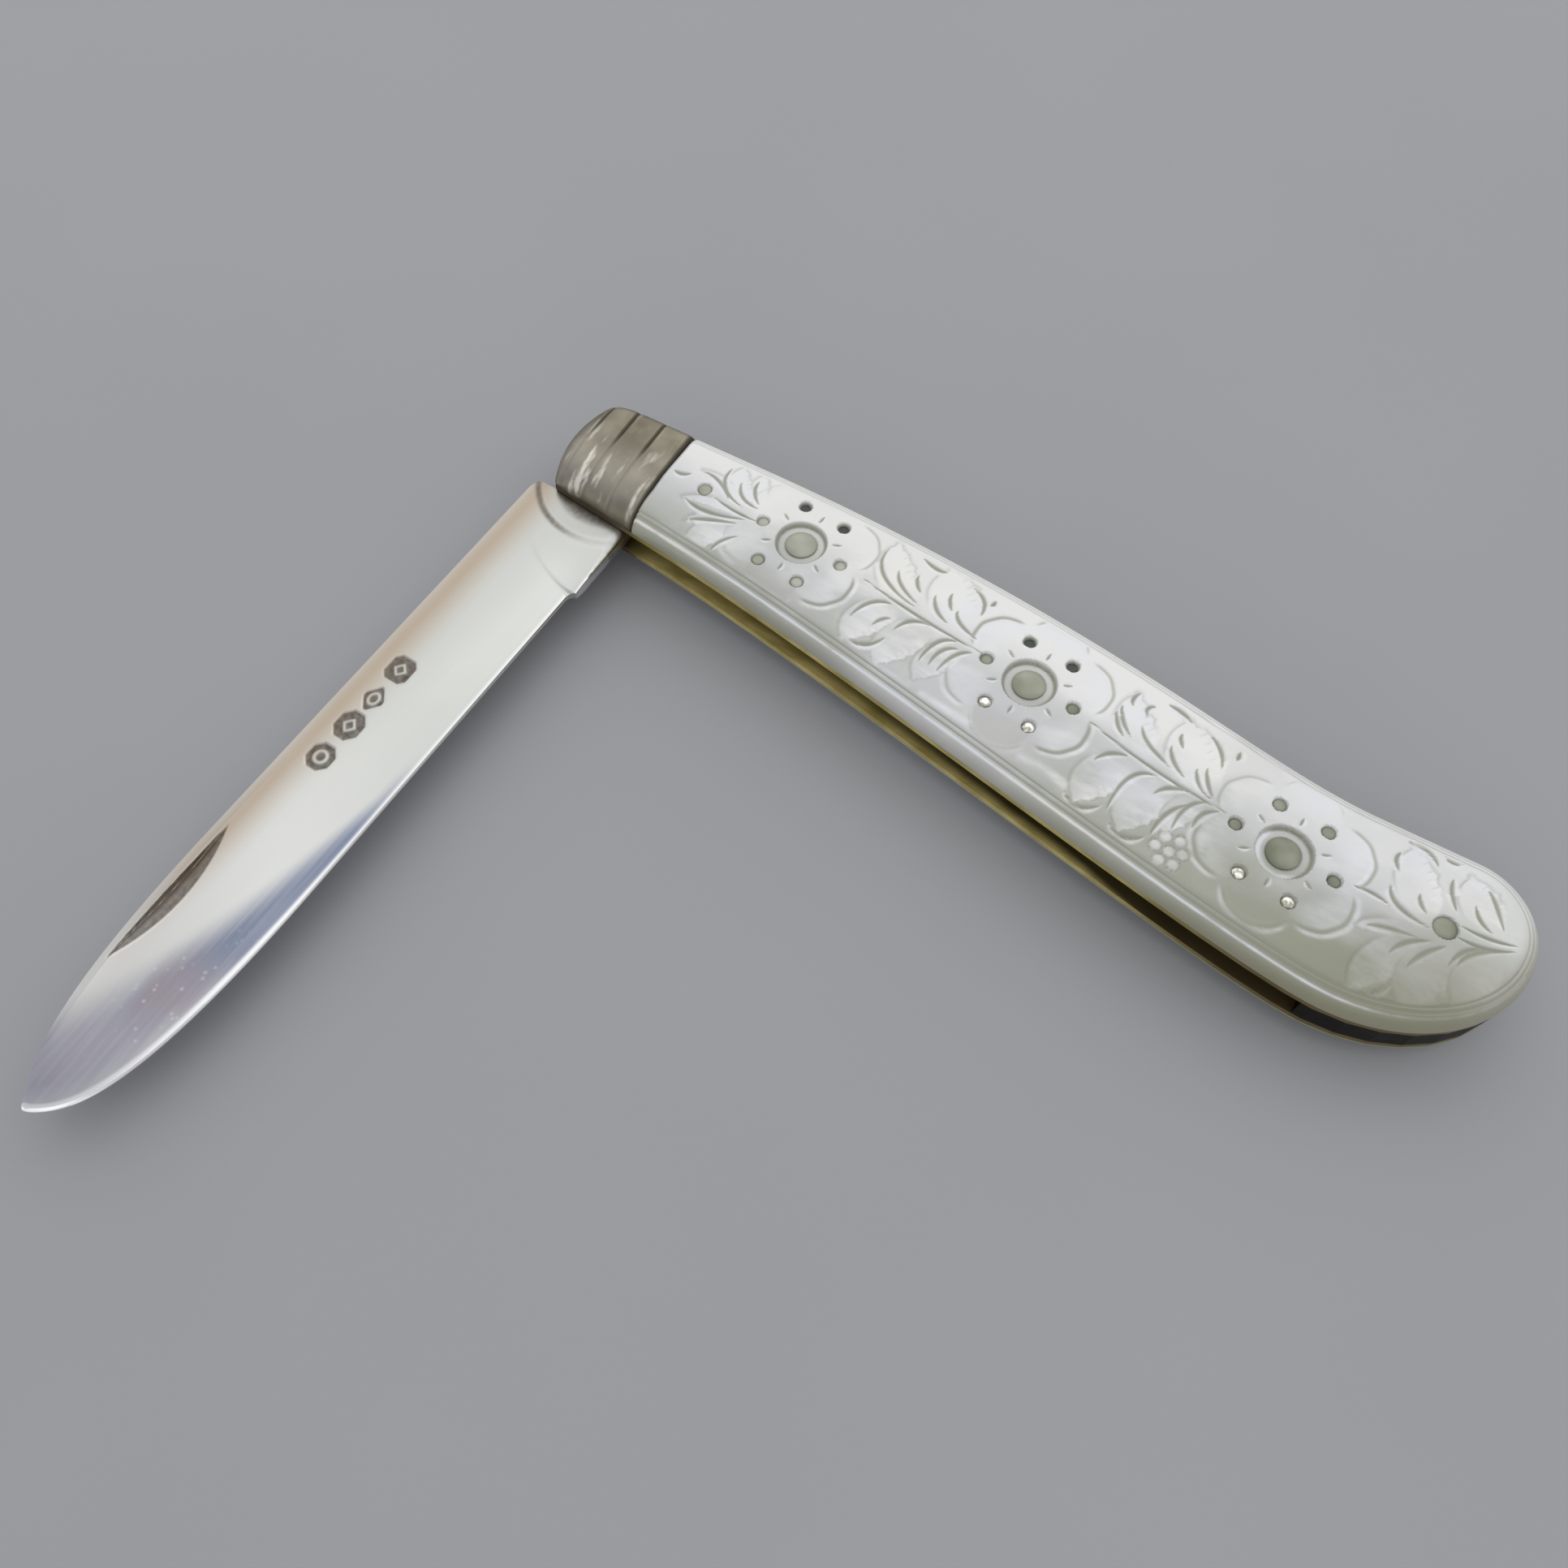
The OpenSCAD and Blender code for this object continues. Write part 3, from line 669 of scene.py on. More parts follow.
# Strips of painted highlight on the ground along the mouth side.
HIGHLIGHT_STRIPS = [
    ((25.4, -6.5), (27.8, -6.8), (29.9, -7.0)), ((31.3, -7.2), (33.2, -7.4), (35.1, -7.6)),
    ((39.6, -8.2), (41.3, -8.3), (43.1, -8.7)),
]
STEM_W, STEM_DEPTH = 0.24, 0.16
CUT_W, CUT_DEPTH, STRIP_W = 0.33, 0.18, 0.55
print(len(LEAVES), "leaves and", len(CUTS), "cuts")

# %% [markdown]
# A flower has six petals round its rivet, each a round lobe between two of the drilled dots. One formula
# is the edge of all six, with a small scallop, and a number for each petal says how boldly its edge was
# cut. The petals are dished and get a painted sheen, with a painted highlight beside each edge, and the
# lowest petal is painted darker as shade. A short tick points out from the well into each of them.

# %% Flowers
FLOWERS = [(17.2, 0.38), (37.6, -2.41), (58.0, -6.02)]
DOT_TURN = math.radians(-6)
LOBE_OUT, LOBE_R = 3.55, 2.45
PETAL_OUT = LOBE_OUT + LOBE_R
PETAL_DEPTH, PETAL_EDGE_W = 0.1, 0.3
LOWEST, LOW_PETAL_SHADE = 4, 0.24
BOLD_PETALS = {
    1: (0.75, 0.5, 0.45, 0.5, 0.6, 1.0),
    2: (0.85, 0.8, 1.0, 0.7, 0.5, 1.0),
    3: (0.85, 0.5, 0.7, 0.8, 0.7, 0.85),
}
TICK_FROM, TICK_TO, TICK_W, TICK_DEPTH = 2.3, 3.15, 0.2, 0.12


def petals(carving, centre, bold):
    """Petals and ticks of one flower. Each petal's edge is cut as boldly as its number says."""
    ring = np.array([centre]) + np.array([[-PETAL_OUT, -PETAL_OUT], [PETAL_OUT, PETAL_OUT]])
    picked = carving.near(ring, 0.8)
    dx, dy = carving.x[picked] - centre[0], carving.y[picked] - centre[1]
    out, turn = np.hypot(dx, dy), np.arctan2(dy, dx) - DOT_TURN
    wave = np.abs(np.sin(3 * turn))
    number = np.floor(np.degrees(turn) / 60).astype(int) % 6
    weight = np.array(bold)[number] * smooth(wave / 0.5)
    lobe = np.mod(turn, math.pi / 3) - math.pi / 6
    edge_r = LOBE_OUT * np.cos(lobe) + np.sqrt(LOBE_R ** 2 - (LOBE_OUT * np.sin(lobe)) ** 2)
    edge_r -= 0.03 * np.cos(22 * turn) * wave
    edge = ridge(out - edge_r, PETAL_EDGE_W * (0.4 + 0.6 * weight)) * weight
    # painted highlight beside each petal's edge
    lit = ridge(out - edge_r + 0.36 * np.sign(dy), 0.3) * weight
    inside = np.clip((edge_r - out) / 0.4, 0, 1) * smooth((out - 2.6) / 1.2)
    dish = PETAL_DEPTH * inside * wave
    # painted sheen on the petals, but not on the lowest one
    petal_gleam = inside * (0.1 + 0.45 * wave) * smooth((out - 3.2) / 1.8) * (number != LOWEST)
    carving.sink(picked, np.maximum(dish, EDGE_DEPTH * edge), 0.6 * edge, np.maximum(petal_gleam, lit))
    # painted shade: the lowest petal is darker
    carving.sink(picked, 0, LOW_PETAL_SHADE * inside * (number == LOWEST))
    for k in range(6):
        petal = DOT_TURN + math.radians(30 + 60 * k)
        ray = np.array([math.cos(petal), math.sin(petal)])
        tick = np.array([centre + ray * TICK_FROM, centre + ray * TICK_TO])
        stroke(carving, tick, TICK_W, TICK_DEPTH)


print(len(FLOWERS), "flowers")

# %% [markdown]
# The dots and wells are drilled through whatever is cut there. The rivet's head stands in its well, and
# a ring of painted shade lies at the well's wall and round the head. Lost dots are empty holes, painted
# nearly black as shade. In the last flower the wall has a painted glint, and in the second a faint one.
# Near the last flower hangs a cluster of berries, each a small ring with a painted highlight in its middle.

# %% Wells and berries
WELL_R, WELL_DEPTH, RIVET_HEAD_R = 1.95, 0.45, 1.2
DOT_RING, DOT_R, DOT_DEPTH = 3.6, 0.5, 0.4
GLINT_R, GLINTS = 1.72, {1: 0, 2: 0.15, 3: 1.5}


def dot_places(centre, numbers=range(6)):
    """Places of a flower's dots."""
    turns = [DOT_TURN + math.radians(60 * k) for k in numbers]
    return [(centre[0] + DOT_RING * math.cos(a), centre[1] + DOT_RING * math.sin(a)) for a in turns]


def drill_flower(carving, centre, lost, glint):
    """Dots and the rivet's well of one flower. Lost dots are empty and painted dark as shade, the well gets a
    ring of painted shade, and its wall a painted glint as strong as glint says.
    """
    for k, place in enumerate(dot_places(centre)):
        # lost dots are painted nearly black as shade
        carving.drill(place, DOT_R, DOT_DEPTH, 1.0 if k in lost else 0.7)
    carving.drill(centre, WELL_R, WELL_DEPTH, 0.3)
    dx, dy = carving.x - centre[0], carving.y - centre[1]
    out = np.hypot(dx, dy)
    # painted shade at the well's wall and round the rivet's head
    wall = np.maximum(ridge(out - WELL_R + 0.1, 0.26), ridge(out - RIVET_HEAD_R, 0.2))
    carving.stain = np.maximum(carving.stain, 0.75 * wall)
    # painted glint on the near side of the well's wall
    lit = glint * ridge(out - GLINT_R, 0.3) * smooth(0.3 - (dx + dy) / np.maximum(out, 0.01))
    carving.gleam = np.maximum(carving.gleam, lit)
    carving.stain *= 1 - 0.8 * lit


BERRIES = [(50.7, -8.9), (51.7, -8.8), (50.3, -9.8), (51.3, -9.8), (52.2, -9.6), (50.9, -10.7), (51.9, -10.6)]
BERRY_R, BERRY_W, BERRY_DEPTH = 0.42, 0.17, 0.12


def berries(carving):
    """A cluster of berries, each a small ring with a painted highlight in its middle."""
    for centre in BERRIES:
        ring = arc(centre, BERRY_R, BERRY_R, 0, 360, 20)
        picked = carving.near(ring, BERRY_W)
        gap = np.hypot(carving.x[picked] - centre[0], carving.y[picked] - centre[1]) - BERRY_R
        cut = ridge(gap, BERRY_W)
        # a painted highlight in each berry's middle
        carving.sink(picked, BERRY_DEPTH * cut, 0.4 * cut, 0.8 * (gap < 0))


print(len(BERRIES), "berries")

# %% [markdown]
# ## The pearl's finish
# Mother of pearl is a pale stone made of thin layers, so it is glossy and its grey drifts between
# green and lilac where the layers come to the surface. Broad drawn out noise mixes the greys, a second
# noise adds the cloudy depth, and a third the frost that breaks up the painted sheen of the carved faces.
# The mouth side, the lower roll and the tail are painted darker and olive as shade, and the back is
# painted nearly white as a highlight. The carving's mask of stain and painted shade darkens the cuts,
# and empty holes are painted nearly black as shade.

# %% Pearl
pearl, shader, place = new_finish("pearl")
drift = noise(place, 0.009, 3, (0.45, 1.0, 1.0))
cloud = noise(place, 0.0022, 4, (0.6, 1.0, 1.0))
ripple = noise(place, 0.0006, 3, (0.35, 1.0, 1.0))
stain, gleam = mark(place, "stain"), mark(place, "gleam")
along, across = axis(place, "X"), axis(place, "Y")
from_middle = across + 0.115 * along + 0.003 * cloud
by_head, to_tail = 1 - step(along, 0.018, 0.032), step(along, 0.030, 0.068)
# painted shade: the mouth side darker and olive, more by the head and towards the tail
low_side = (1 - step(from_middle, -0.0032, 0.0040)) * (0.18 + 0.40 * by_head + 0.77 * to_tail)
# painted highlight: the back nearly white, less towards the tail
high_side = step(from_middle, 0.0012, 0.0065) * (0.85 - 0.35 * step(along, 0.048, 0.056))
# painted shade low on the tail's mouth side
tail_low = step(along, 0.062, 0.071) * (1 - step(across, -0.0085, -0.0040))
grey = tint(step(drift, 0.35, 0.65), (0.54, 0.565, 0.53), (0.67, 0.67, 0.70))
grey = tint(step(cloud, 0.5, 0.7) * 0.6, grey, (0.76, 0.77, 0.77))
grey = tint(low_side, grey, (0.25, 0.26, 0.17))
grey = tint(high_side, grey, (0.91, 0.91, 0.895))
# painted sheen where the carving painted its gleam, broken up by the frost
sheen = tint(step(drift, 0.4, 0.6), (0.91, 0.90, 0.865), (0.83, 0.86, 0.91))
frost = 0.25 + 0.5 * step(cloud, 0.32, 0.55) + 0.3 * step(ripple, 0.38, 0.62)
grey = tint(gleam * frost * (1 - 0.5 * low_side) * (1 - 0.75 * tail_low), grey, sheen)
grey = tint(tail_low * 0.5, grey, (0.28, 0.27, 0.19))
# stain and painted shade of the cuts and the wells
grey = tint(step(stain, 0.05, 0.75) * 0.9, grey, (0.30, 0.30, 0.23))
# painted shade: the end of the tail and the lower roll darker and olive
low_roll = 1 - step(axis(place, "Z"), 0.0054, 0.0070)
end_roll = step(along, 0.0732, 0.0746) * (1 - step(across, -0.0050, -0.0005))
grey = tint(end_roll * 0.55, grey, (0.33, 0.32, 0.24))
grey = tint(low_roll * (0.25 + 0.2 * by_head + 0.65 * to_tail), grey, (0.31, 0.30, 0.20))
plug(shader, {
    # empty holes painted nearly black as shade
    "Base Color": tint(step(stain, 0.8, 1.0), grey, (0.03, 0.045, 0.03)),
    "Roughness": 0.24 + 0.14 * cloud + 0.2 * stain,
    "Coat Weight": 0.5,
    "Coat Roughness": 0.08,
    "Normal": bump(cloud + 0.5 * ripple, 0.25, 0.00006),
})
print("pearl has", len(pearl.node_tree.nodes), "nodes")

# %% [markdown]
# ## The two scales
# Now the cheek, the carving and the finish come together. Leaves and petals stop short of the border.
# The double line along the rim needs no path of its own, because every point already knows how far in
# from the outline it lies. Next to it, on the mouth side, a bright line is painted, where the edge
# mirrors the window. The holes are drilled last.

# %% Carving a scale
HEAD_PIN, TAIL_PIN = (8.1, 1.17), (68.9, -6.0)
PIN_HOLE, HEAD_HOLE_R, TAIL_HOLE_R = 0.35, 0.56, 0.81
RIM_LINES = (0.78, 1.12)
RIM_W, RIM_DEPTH = 0.13, 0.08
SHINE_AT, SHINE_W, SHINE = 0.5, 0.11, 2.5


def carve_scale(x, y, inset, on_face, lost):
    """All the cuts in one scale."""
    carving = Carving(x, y)
    for row in LEAVES:
        leaf(carving, *row)
    for start, end, bend in STEMS:
        stroke(carving, bow(start, end, bend), STEM_W, STEM_DEPTH)
    # painted highlight strips along the mouth side
    for places in HIGHLIGHT_STRIPS:
        path = through(*places)
        picked = carving.near(path, STRIP_W)
        carving.sink(picked, 0, 0, ridge(beside(x[picked], y[picked], path)[0], STRIP_W))
    berries(carving)
    for number, centre in enumerate(FLOWERS, 1):
        petals(carving, centre, BOLD_PETALS[number])
    for places in CUTS:
        stroke(carving, through(*places), CUT_W, CUT_DEPTH)
    within = smooth((inset - RIM_LINES[-1]) / 0.4)
    for cuts in (carving.depth, carving.stain, carving.gleam):
        cuts *= within
    by_mouth = y < np.interp(x, scale_middle[:SIDE_STEPS, 0], scale_middle[:SIDE_STEPS, 1])
    # the rim lines are stained, with painted shade added on the mouth side
    for at in RIM_LINES:
        line = ridge(inset - at, RIM_W) * on_face
        carving.sink(np.arange(len(x)), RIM_DEPTH * line, (0.45 + 0.2 * by_mouth) * line)
    carving.sink(np.arange(len(x)), 0, 0, SHINE * ridge(inset - SHINE_AT, SHINE_W) * by_mouth * on_face)
    for number, centre in enumerate(FLOWERS, 1):
        drill_flower(carving, centre, lost.get(number, ()), GLINTS[number])
    carving.drill(HEAD_PIN, HEAD_HOLE_R, PIN_HOLE, 0.7)
    carving.drill(TAIL_PIN, TAIL_HOLE_R, PIN_HOLE, 0.7)
    return carving


print("carving from the rim lines at", RIM_LINES, "mm inwards")

# %% [markdown]
# The roll is wide along the mouth, wider still at the head, and tight along the back, as the file left
# it. The lower scale is the same piece turned over, with a roll that leans in from the liner on.

# %% Scales
PEARL_ROLL, HEAD_ROLL, BACK_ROLL = 2.0, 2.9, 1.2
HEAD_ROLL_L, BACK_ROLL_AT, BACK_ROLL_L = 16, 46, 22
PEARL_CROWN, PEARL_ROWS = 0.15, 42
LOST_DOTS = {1: (1, 2), 2: (1, 2), 3: ()}
by_back = np.arange(len(scale_line)) > SIDE_STEPS + TAIL_STEPS - 3
line_x = scale_line[:, 0]
mouth_roll = PEARL_ROLL + (HEAD_ROLL - PEARL_ROLL) * (1 - smooth((line_x - JOINT) / HEAD_ROLL_L))
back_roll = BACK_ROLL + (PEARL_ROLL - BACK_ROLL) * smooth((line_x - BACK_ROLL_AT) / BACK_ROLL_L)
roll = np.where(by_back, back_roll, mouth_roll)
for side, upper in SIDES.items():
    profile = round_roll if upper else slant_roll
    bm, x, y, z, inset, on_face = cheek(scale_line, scale_middle, roll, profile, PEARL_CROWN, PEARL_ROWS)
    carving = carve_scale(x, y, inset, on_face, LOST_DOTS if upper else {})
    # dirt and painted shade: the cuts' mask, and the foot of the roll by the liner painted darker
    dirt_and_shade = np.maximum(carving.stain, 0.5 * (1 - smooth(z / 0.25)))
    z = np.where(on_face, np.maximum(z - carving.depth - joint_ease(x - JOINT), LEAST_T), z)
    set_cheek(bm, upper, JOINT, (x, y, z), stain=dirt_and_shade, gleam=carving.gleam)
    piece(bm, side + "_pearl_scale", pearl, [side + "_scale"])

# %% [markdown]
# ## Bolsters
# A bolster is the cap of worn silver at the head. Silver darkens where no finger rubs it, so the
# grooves, the joint and the back are brown, and the foot by the liner is darker, with tarnish and painted
# shade. A band along the crown is lighter, partly rubbed and partly a painted highlight, with pale
# streaks of painted highlight that run across the handle.

# %% Worn silver
bolster_silver, shader, place = new_finish("worn_silver")
stain = mark(place, "stain")
streak = noise(place, 0.0010, 5, (1.0, 0.2, 0.5))
patch = noise(place, 0.004, 3)
worn = tint(step(patch, 0.35, 0.7), (0.175, 0.16, 0.115), (0.32, 0.295, 0.23))
from_mouth = axis(place, "Y")
# a lighter band along the crown: partly rubbed, partly painted highlight
lighter = step(from_mouth, -0.0042, -0.0022) * (1 - step(from_mouth, -0.001, 0.0042))
worn = tint(lighter * (0.2 + 0.4 * patch), worn, (0.46, 0.43, 0.39))
# pale streaks: painted highlights, strongest on the crown band
worn = tint(step(streak, 0.55, 0.70) * (0.15 + 0.75 * lighter), worn, (0.93, 0.88, 0.80))
plug(shader, {
    # tarnish in the grooves and the joint, and tarnish with painted shade at the foot
    "Base Color": tint(step(stain, 0.05, 1.0) * 0.85, worn, (0.07, 0.055, 0.04)),
    "Metallic": 1.0,
    "Roughness": 0.30 + 0.16 * streak + 0.25 * stain,
    "Normal": bump(streak, 0.35, 0.00006),
})
print("worn silver has", len(bolster_silver.node_tree.nodes), "nodes")

# %% [markdown]
# The bolster's outline is two straight sides and a shallow arc across the end. A sharp corner there
# would be worn down in a pocket, so the row of points round the end is averaged a few times, which
# rounds the two corners and leaves the rest.

# %% Bolster's outline
BOLSTER_JOINT = 4.35
FRONT = -4.7
END_R = 9.4
CORNER_WEAR = 5
BOLSTER_STEPS, END_STEPS = 90, 150
MIDDLE_END = -0.6
mouth_front = HEAD_MOUTH + (JOINT - FRONT) * math.tan(MOUTH_SLOPE)
end_turn = math.degrees(math.asin((HEAD_BACK - mouth_front) / 2 / END_R))
end_centre = (FRONT + END_R, (HEAD_BACK + mouth_front) / 2)
end_arc = arc(end_centre, END_R, END_R, 180 + end_turn, 180 - end_turn, 60)
mouth_joint = HEAD_MOUTH + (JOINT - BOLSTER_JOINT) * math.tan(MOUTH_SLOPE)
mouth_side = np.array([end_arc[0], (BOLSTER_JOINT, mouth_joint)])
back_side = np.array([end_arc[-1], (BOLSTER_JOINT, HEAD_BACK)])
low_row, high_row, mid_row = two_sides(mouth_side, back_side, MIDDLE_END, BOLSTER_JOINT, BOLSTER_STEPS)
end_row = even(np.concatenate([high_row[:1], end_arc[::-1], low_row[:1]]), END_STEPS)
for _ in range(CORNER_WEAR):
    end_row[1:-1] = (end_row[:-2] + 2 * end_row[1:-1] + end_row[2:]) / 4
bolster_line = np.concatenate([high_row[::-1], end_row[1:-1], low_row])
bolster_middle = np.concatenate([mid_row[::-1], np.repeat(mid_row[:1], END_STEPS - 2, axis=0), mid_row])
print("bolster's outline of", len(bolster_line), "points")

# %% [markdown]
# A bolster is rounder than a scale. Its height is a product of three arches, over the back, over the
# mouth and over the end, which makes a barrel. Three grooves run across it, and they are shallower
# towards the mouth.

# %% Bolsters
END_ROLL, END_ROLL_L, BARREL = 2.7, 7, 4.6
GROOVES = (-3.0, -0.7, 1.8)
GROOVE_W, GROOVE_DEPTH = 0.26, 0.14
BOLSTER_ROWS = 34
roll = HEAD_ROLL + (END_ROLL - HEAD_ROLL) * smooth((BOLSTER_JOINT - bolster_line[:, 0]) / END_ROLL_L)
for side, upper in SIDES.items():
    profile = round_roll if upper else slant_roll
    bm, x, y, z, _, on_face = cheek(bolster_line, bolster_middle, roll, profile, PEARL_CROWN, BOLSTER_ROWS)
    mouth_y = np.interp(x, mouth_side[:, 0], mouth_side[:, 1])
    barrel = quarter((HEAD_BACK - y) / BACK_ROLL) * quarter((y - mouth_y) / BARREL)
    barrel *= quarter((END_R - np.hypot(x - end_centre[0], y - end_centre[1])) / END_ROLL)
    slant = SCALE_T * (SLANT_FOOT + (1 - SLANT_FOOT) * barrel ** 1.6)
    z = np.where(z > 0, FOOT + (SCALE_T - FOOT) * barrel if upper else slant, 0)
    cut = np.zeros(len(x))
    for at in GROOVES:
        cut = np.maximum(cut, ridge(x - at, GROOVE_W))
    cut *= 0.3 + 0.7 * smooth((y - 0.5) / 2.5)
    # tarnish in the grooves and the dark joint
    dirt_and_shade = np.maximum(cut, 1 - smooth((BOLSTER_JOINT - x) / 0.4))
    # tarnish and painted shade at the foot by the liner
    dirt_and_shade = np.maximum(dirt_and_shade, 0.8 * (1 - smooth(z / 0.6)))
    z = np.where(on_face, np.maximum(z - GROOVE_DEPTH * cut - joint_ease(BOLSTER_JOINT - x), LEAST_T), z)
    set_cheek(bm, upper, BOLSTER_JOINT, (x, y, z), stain=dirt_and_shade)
    piece(bm, side + "_worn_bolster", bolster_silver, [side + "_bolster"])

# %% [markdown]
# ## The blade
# The blade lies along its own axis, U, with the spine on the minus V side, and is turned to its place
# at the end. Its outline is a spine and an edge that meet at the tip. Years of sharpening have rounded
# the tip, so the outline is averaged there again and again, which wears a corner and keeps a straight.

# %% Blade's outline
BLADE_L = 61.298
SPINE, EDGE, HEEL = -5.748, 3.2, 3.75
TIP = (BLADE_L, -2.1)
SHOULDER, SHOULDER_R = 3.04, 0.8
TANG_END = SHOULDER + 0.001
CHOIL_AT, CHOIL_R = 10.8, 0.55
TANG_R, CAM_R = 4.36, 3.36
HALF_ANGLE = math.radians(92.3)
SHUT_ANGLE = math.radians(8)
BLADE_Z = 3.7
spine_line = np.concatenate([
    [(SHOULDER, SPINE)], curve((BLADE_L - 21, SPINE), (16, 0), (-3, -1.5), TIP, 240)])
edge_line = np.concatenate([
    [(CHOIL_AT, EDGE)], curve((BLADE_L - 21, EDGE), (17.6, 0), (-1.2, 2.5), TIP, 240)])
TIP_WEAR, RIM_STEPS = 70, 2400
rim = even(np.concatenate([spine_line, edge_line[-2::-1]]), RIM_STEPS)
for _ in range(TIP_WEAR):
    rim[1:-1] = (rim[:-2] + 2 * rim[1:-1] + rim[2:]) / 4
foremost = int(np.argmax(rim[:, 0]))
spine_line = np.concatenate([rim[:foremost:6], rim[foremost:foremost + 1]])
edge_line = np.concatenate([rim[:foremost:-6], rim[foremost:foremost + 1]])
TIP_U = float(rim[foremost, 0])


def spine_side(u):
    """V of the blade's spine, with a worn corner at its shoulder, or of the tang's back."""
    tang = -np.minimum(CAM_R, np.sqrt(np.maximum(TANG_R ** 2 - u ** 2, 0)))
    corner = np.clip(SHOULDER + SHOULDER_R - u, 0, SHOULDER_R)
    worn = SHOULDER_R - np.sqrt(SHOULDER_R ** 2 - corner ** 2)
    spine = np.interp(u, spine_line[:, 0], spine_line[:, 1]) + worn
    return np.where(u < TANG_END, tang, spine)


def edge_side(u):
    """V of the blade's edge, of its heel, or of the tang."""
    flat = (CAM_R - u * math.cos(math.pi / 2 + SHUT_ANGLE)) / math.sin(math.pi / 2 + SHUT_ANGLE)
    tang = np.minimum(flat, np.sqrt(np.maximum(TANG_R ** 2 - u ** 2, 0)))
    notch = HEEL - np.sqrt(np.maximum(CHOIL_R ** 2 - (u - CHOIL_AT) ** 2, 0))
    heel = np.where(u < CHOIL_AT - CHOIL_R, HEEL, notch)
    blade = np.where(u < CHOIL_AT, heel, np.interp(u, edge_line[:, 0], edge_line[:, 1]))
    return np.where(u < TANG_END, tang, blade)


print("worn tip at", round(TIP_U, 2), "mm")

# %% [markdown]
# The blade is two sheets, an upper and a lower grid, whose columns run from spine to edge. The columns
# lie closer at the shoulder, at the notch by the heel and at the tip, where the outline turns. The rows
# next to the spine and the edge keep their distance from it, so that the bevels stay even.


# %% Blade's grid
def spread(*stretches):
    """Places along a line from stretches of (start, end, count), the last one with its end."""
    rows = [np.linspace(start, end, count, endpoint=False) for start, end, count in stretches]
    return np.concatenate(rows + [[stretches[-1][1]]])


TIP_L = 1.6
tip_ease = TIP_U - TIP_L * (1 - np.sin(np.linspace(0, math.pi / 2, 30)))
beyond = spread((SHOULDER + 0.002, 6.6, 44), (6.6, 10.2, 26), (10.2, 10.9, 24), (10.9, TIP_U - TIP_L, 360))
columns_u = np.concatenate([spread((-CAM_R, SHOULDER, 24)), beyond[:-1], tip_ease])
SPINE_ZONE, EDGE_ZONE, WIDE = 1.25, 0.66, EDGE - SPINE
rows_in = spread((0, 0.4, 5), (0.4, SPINE_ZONE, 17), (SPINE_ZONE, 2.4, 12), (2.4, 4.2, 18),
                 (4.2, WIDE - EDGE_ZONE, 22), (WIDE - EDGE_ZONE, WIDE, 9))


def across_blade(u, row):
    """V of a row in each column. Rows near the spine and the edge keep their distance from it."""
    low = spine_side(u)
    width = edge_side(u) - low
    keep = np.minimum(1, width / 5)
    stretch = (width - keep * (SPINE_ZONE + EDGE_ZONE)) / (WIDE - SPINE_ZONE - EDGE_ZONE)
    inner = keep * SPINE_ZONE + (row - SPINE_ZONE) * stretch
    return low + np.where(row < SPINE_ZONE, keep * row,
                          np.where(row > WIDE - EDGE_ZONE, width - keep * (WIDE - row), inner))


print("blade grid", len(columns_u), "by", len(rows_in))

# %% [markdown]
# The thickness is a field: flat by the spine, thinning to the edge, with a bevel along both and a boss
# that stands a little proud round the pivot. The nail nick is the print of a wide wheel, deepest along
# its straight side near the spine, and it runs out in a curve. Four small plain stamps are clipped
# squares, each with a raised ring or lozenge in it. A stamp has its place along the blade, its two half
# widths, and a number for how far its corners are clipped.

# %% Blade's thickness
BOSS_R, BOSS_HALF, BLADE_HALF = 6.1, 0.92, 0.8
BEVEL_W, BELLY_BEVEL_W, BEVEL_HALF, EDGE_HALF = 0.26, 0.5, 0.25, 0.06
TAPER_W, SPINE_BEVEL_W, SPINE_HALF = 7.5, 0.8, 0.55
NICK_AT, NICK_L, NICK_W, NICK_DEPTH = BLADE_L - 16.0, 11.8, 1.35, 0.4
NICK_V, NICK_WALL = -4.7, 0.16
HEEL_HALF, HEEL_W = 0.24, 0.7
BELLY_AT, BELLY_L = 32, 22
CREASE_GAP, CREASE_BOW, CREASE_STEP = 0.4, 0.12, 0.05
STAMP_V, STAMP_DEPTH, RAISED_AT, RAISED_W = -3.0, 0.08, 0.42, 0.22
STAMPS = [(23.1, 1.2, 1.1, 0.72), (26.1, 1.15, 0.9, 1.0), (28.8, 1.3, 1.15, 0.8), (31.9, 1.15, 1.1, 0.8)]


def stamps(u, v):
    """Depth of the four stamps: clipped squares, each with a plain raised ring or lozenge in it."""
    depth, dark = np.zeros(len(u)), np.zeros(len(u))
    for number, (at, half_u, half_v, clip) in enumerate(STAMPS):
        du, dv = np.abs(u - at) / half_u, np.abs(v - STAMP_V) / half_v
        out = np.maximum(np.maximum(du, dv), (du + dv) * clip / 1.15)
        middle = np.hypot(du, dv) if number % 2 else du + dv
        raised = ridge(middle - RAISED_AT, RAISED_W)
        sunk = (1 - smooth((out - 0.84) / 0.16)) * (1 - 0.8 * raised)
        depth = np.maximum(depth, STAMP_DEPTH * sunk)
        dark = np.maximum(dark, sunk)
    return depth, dark


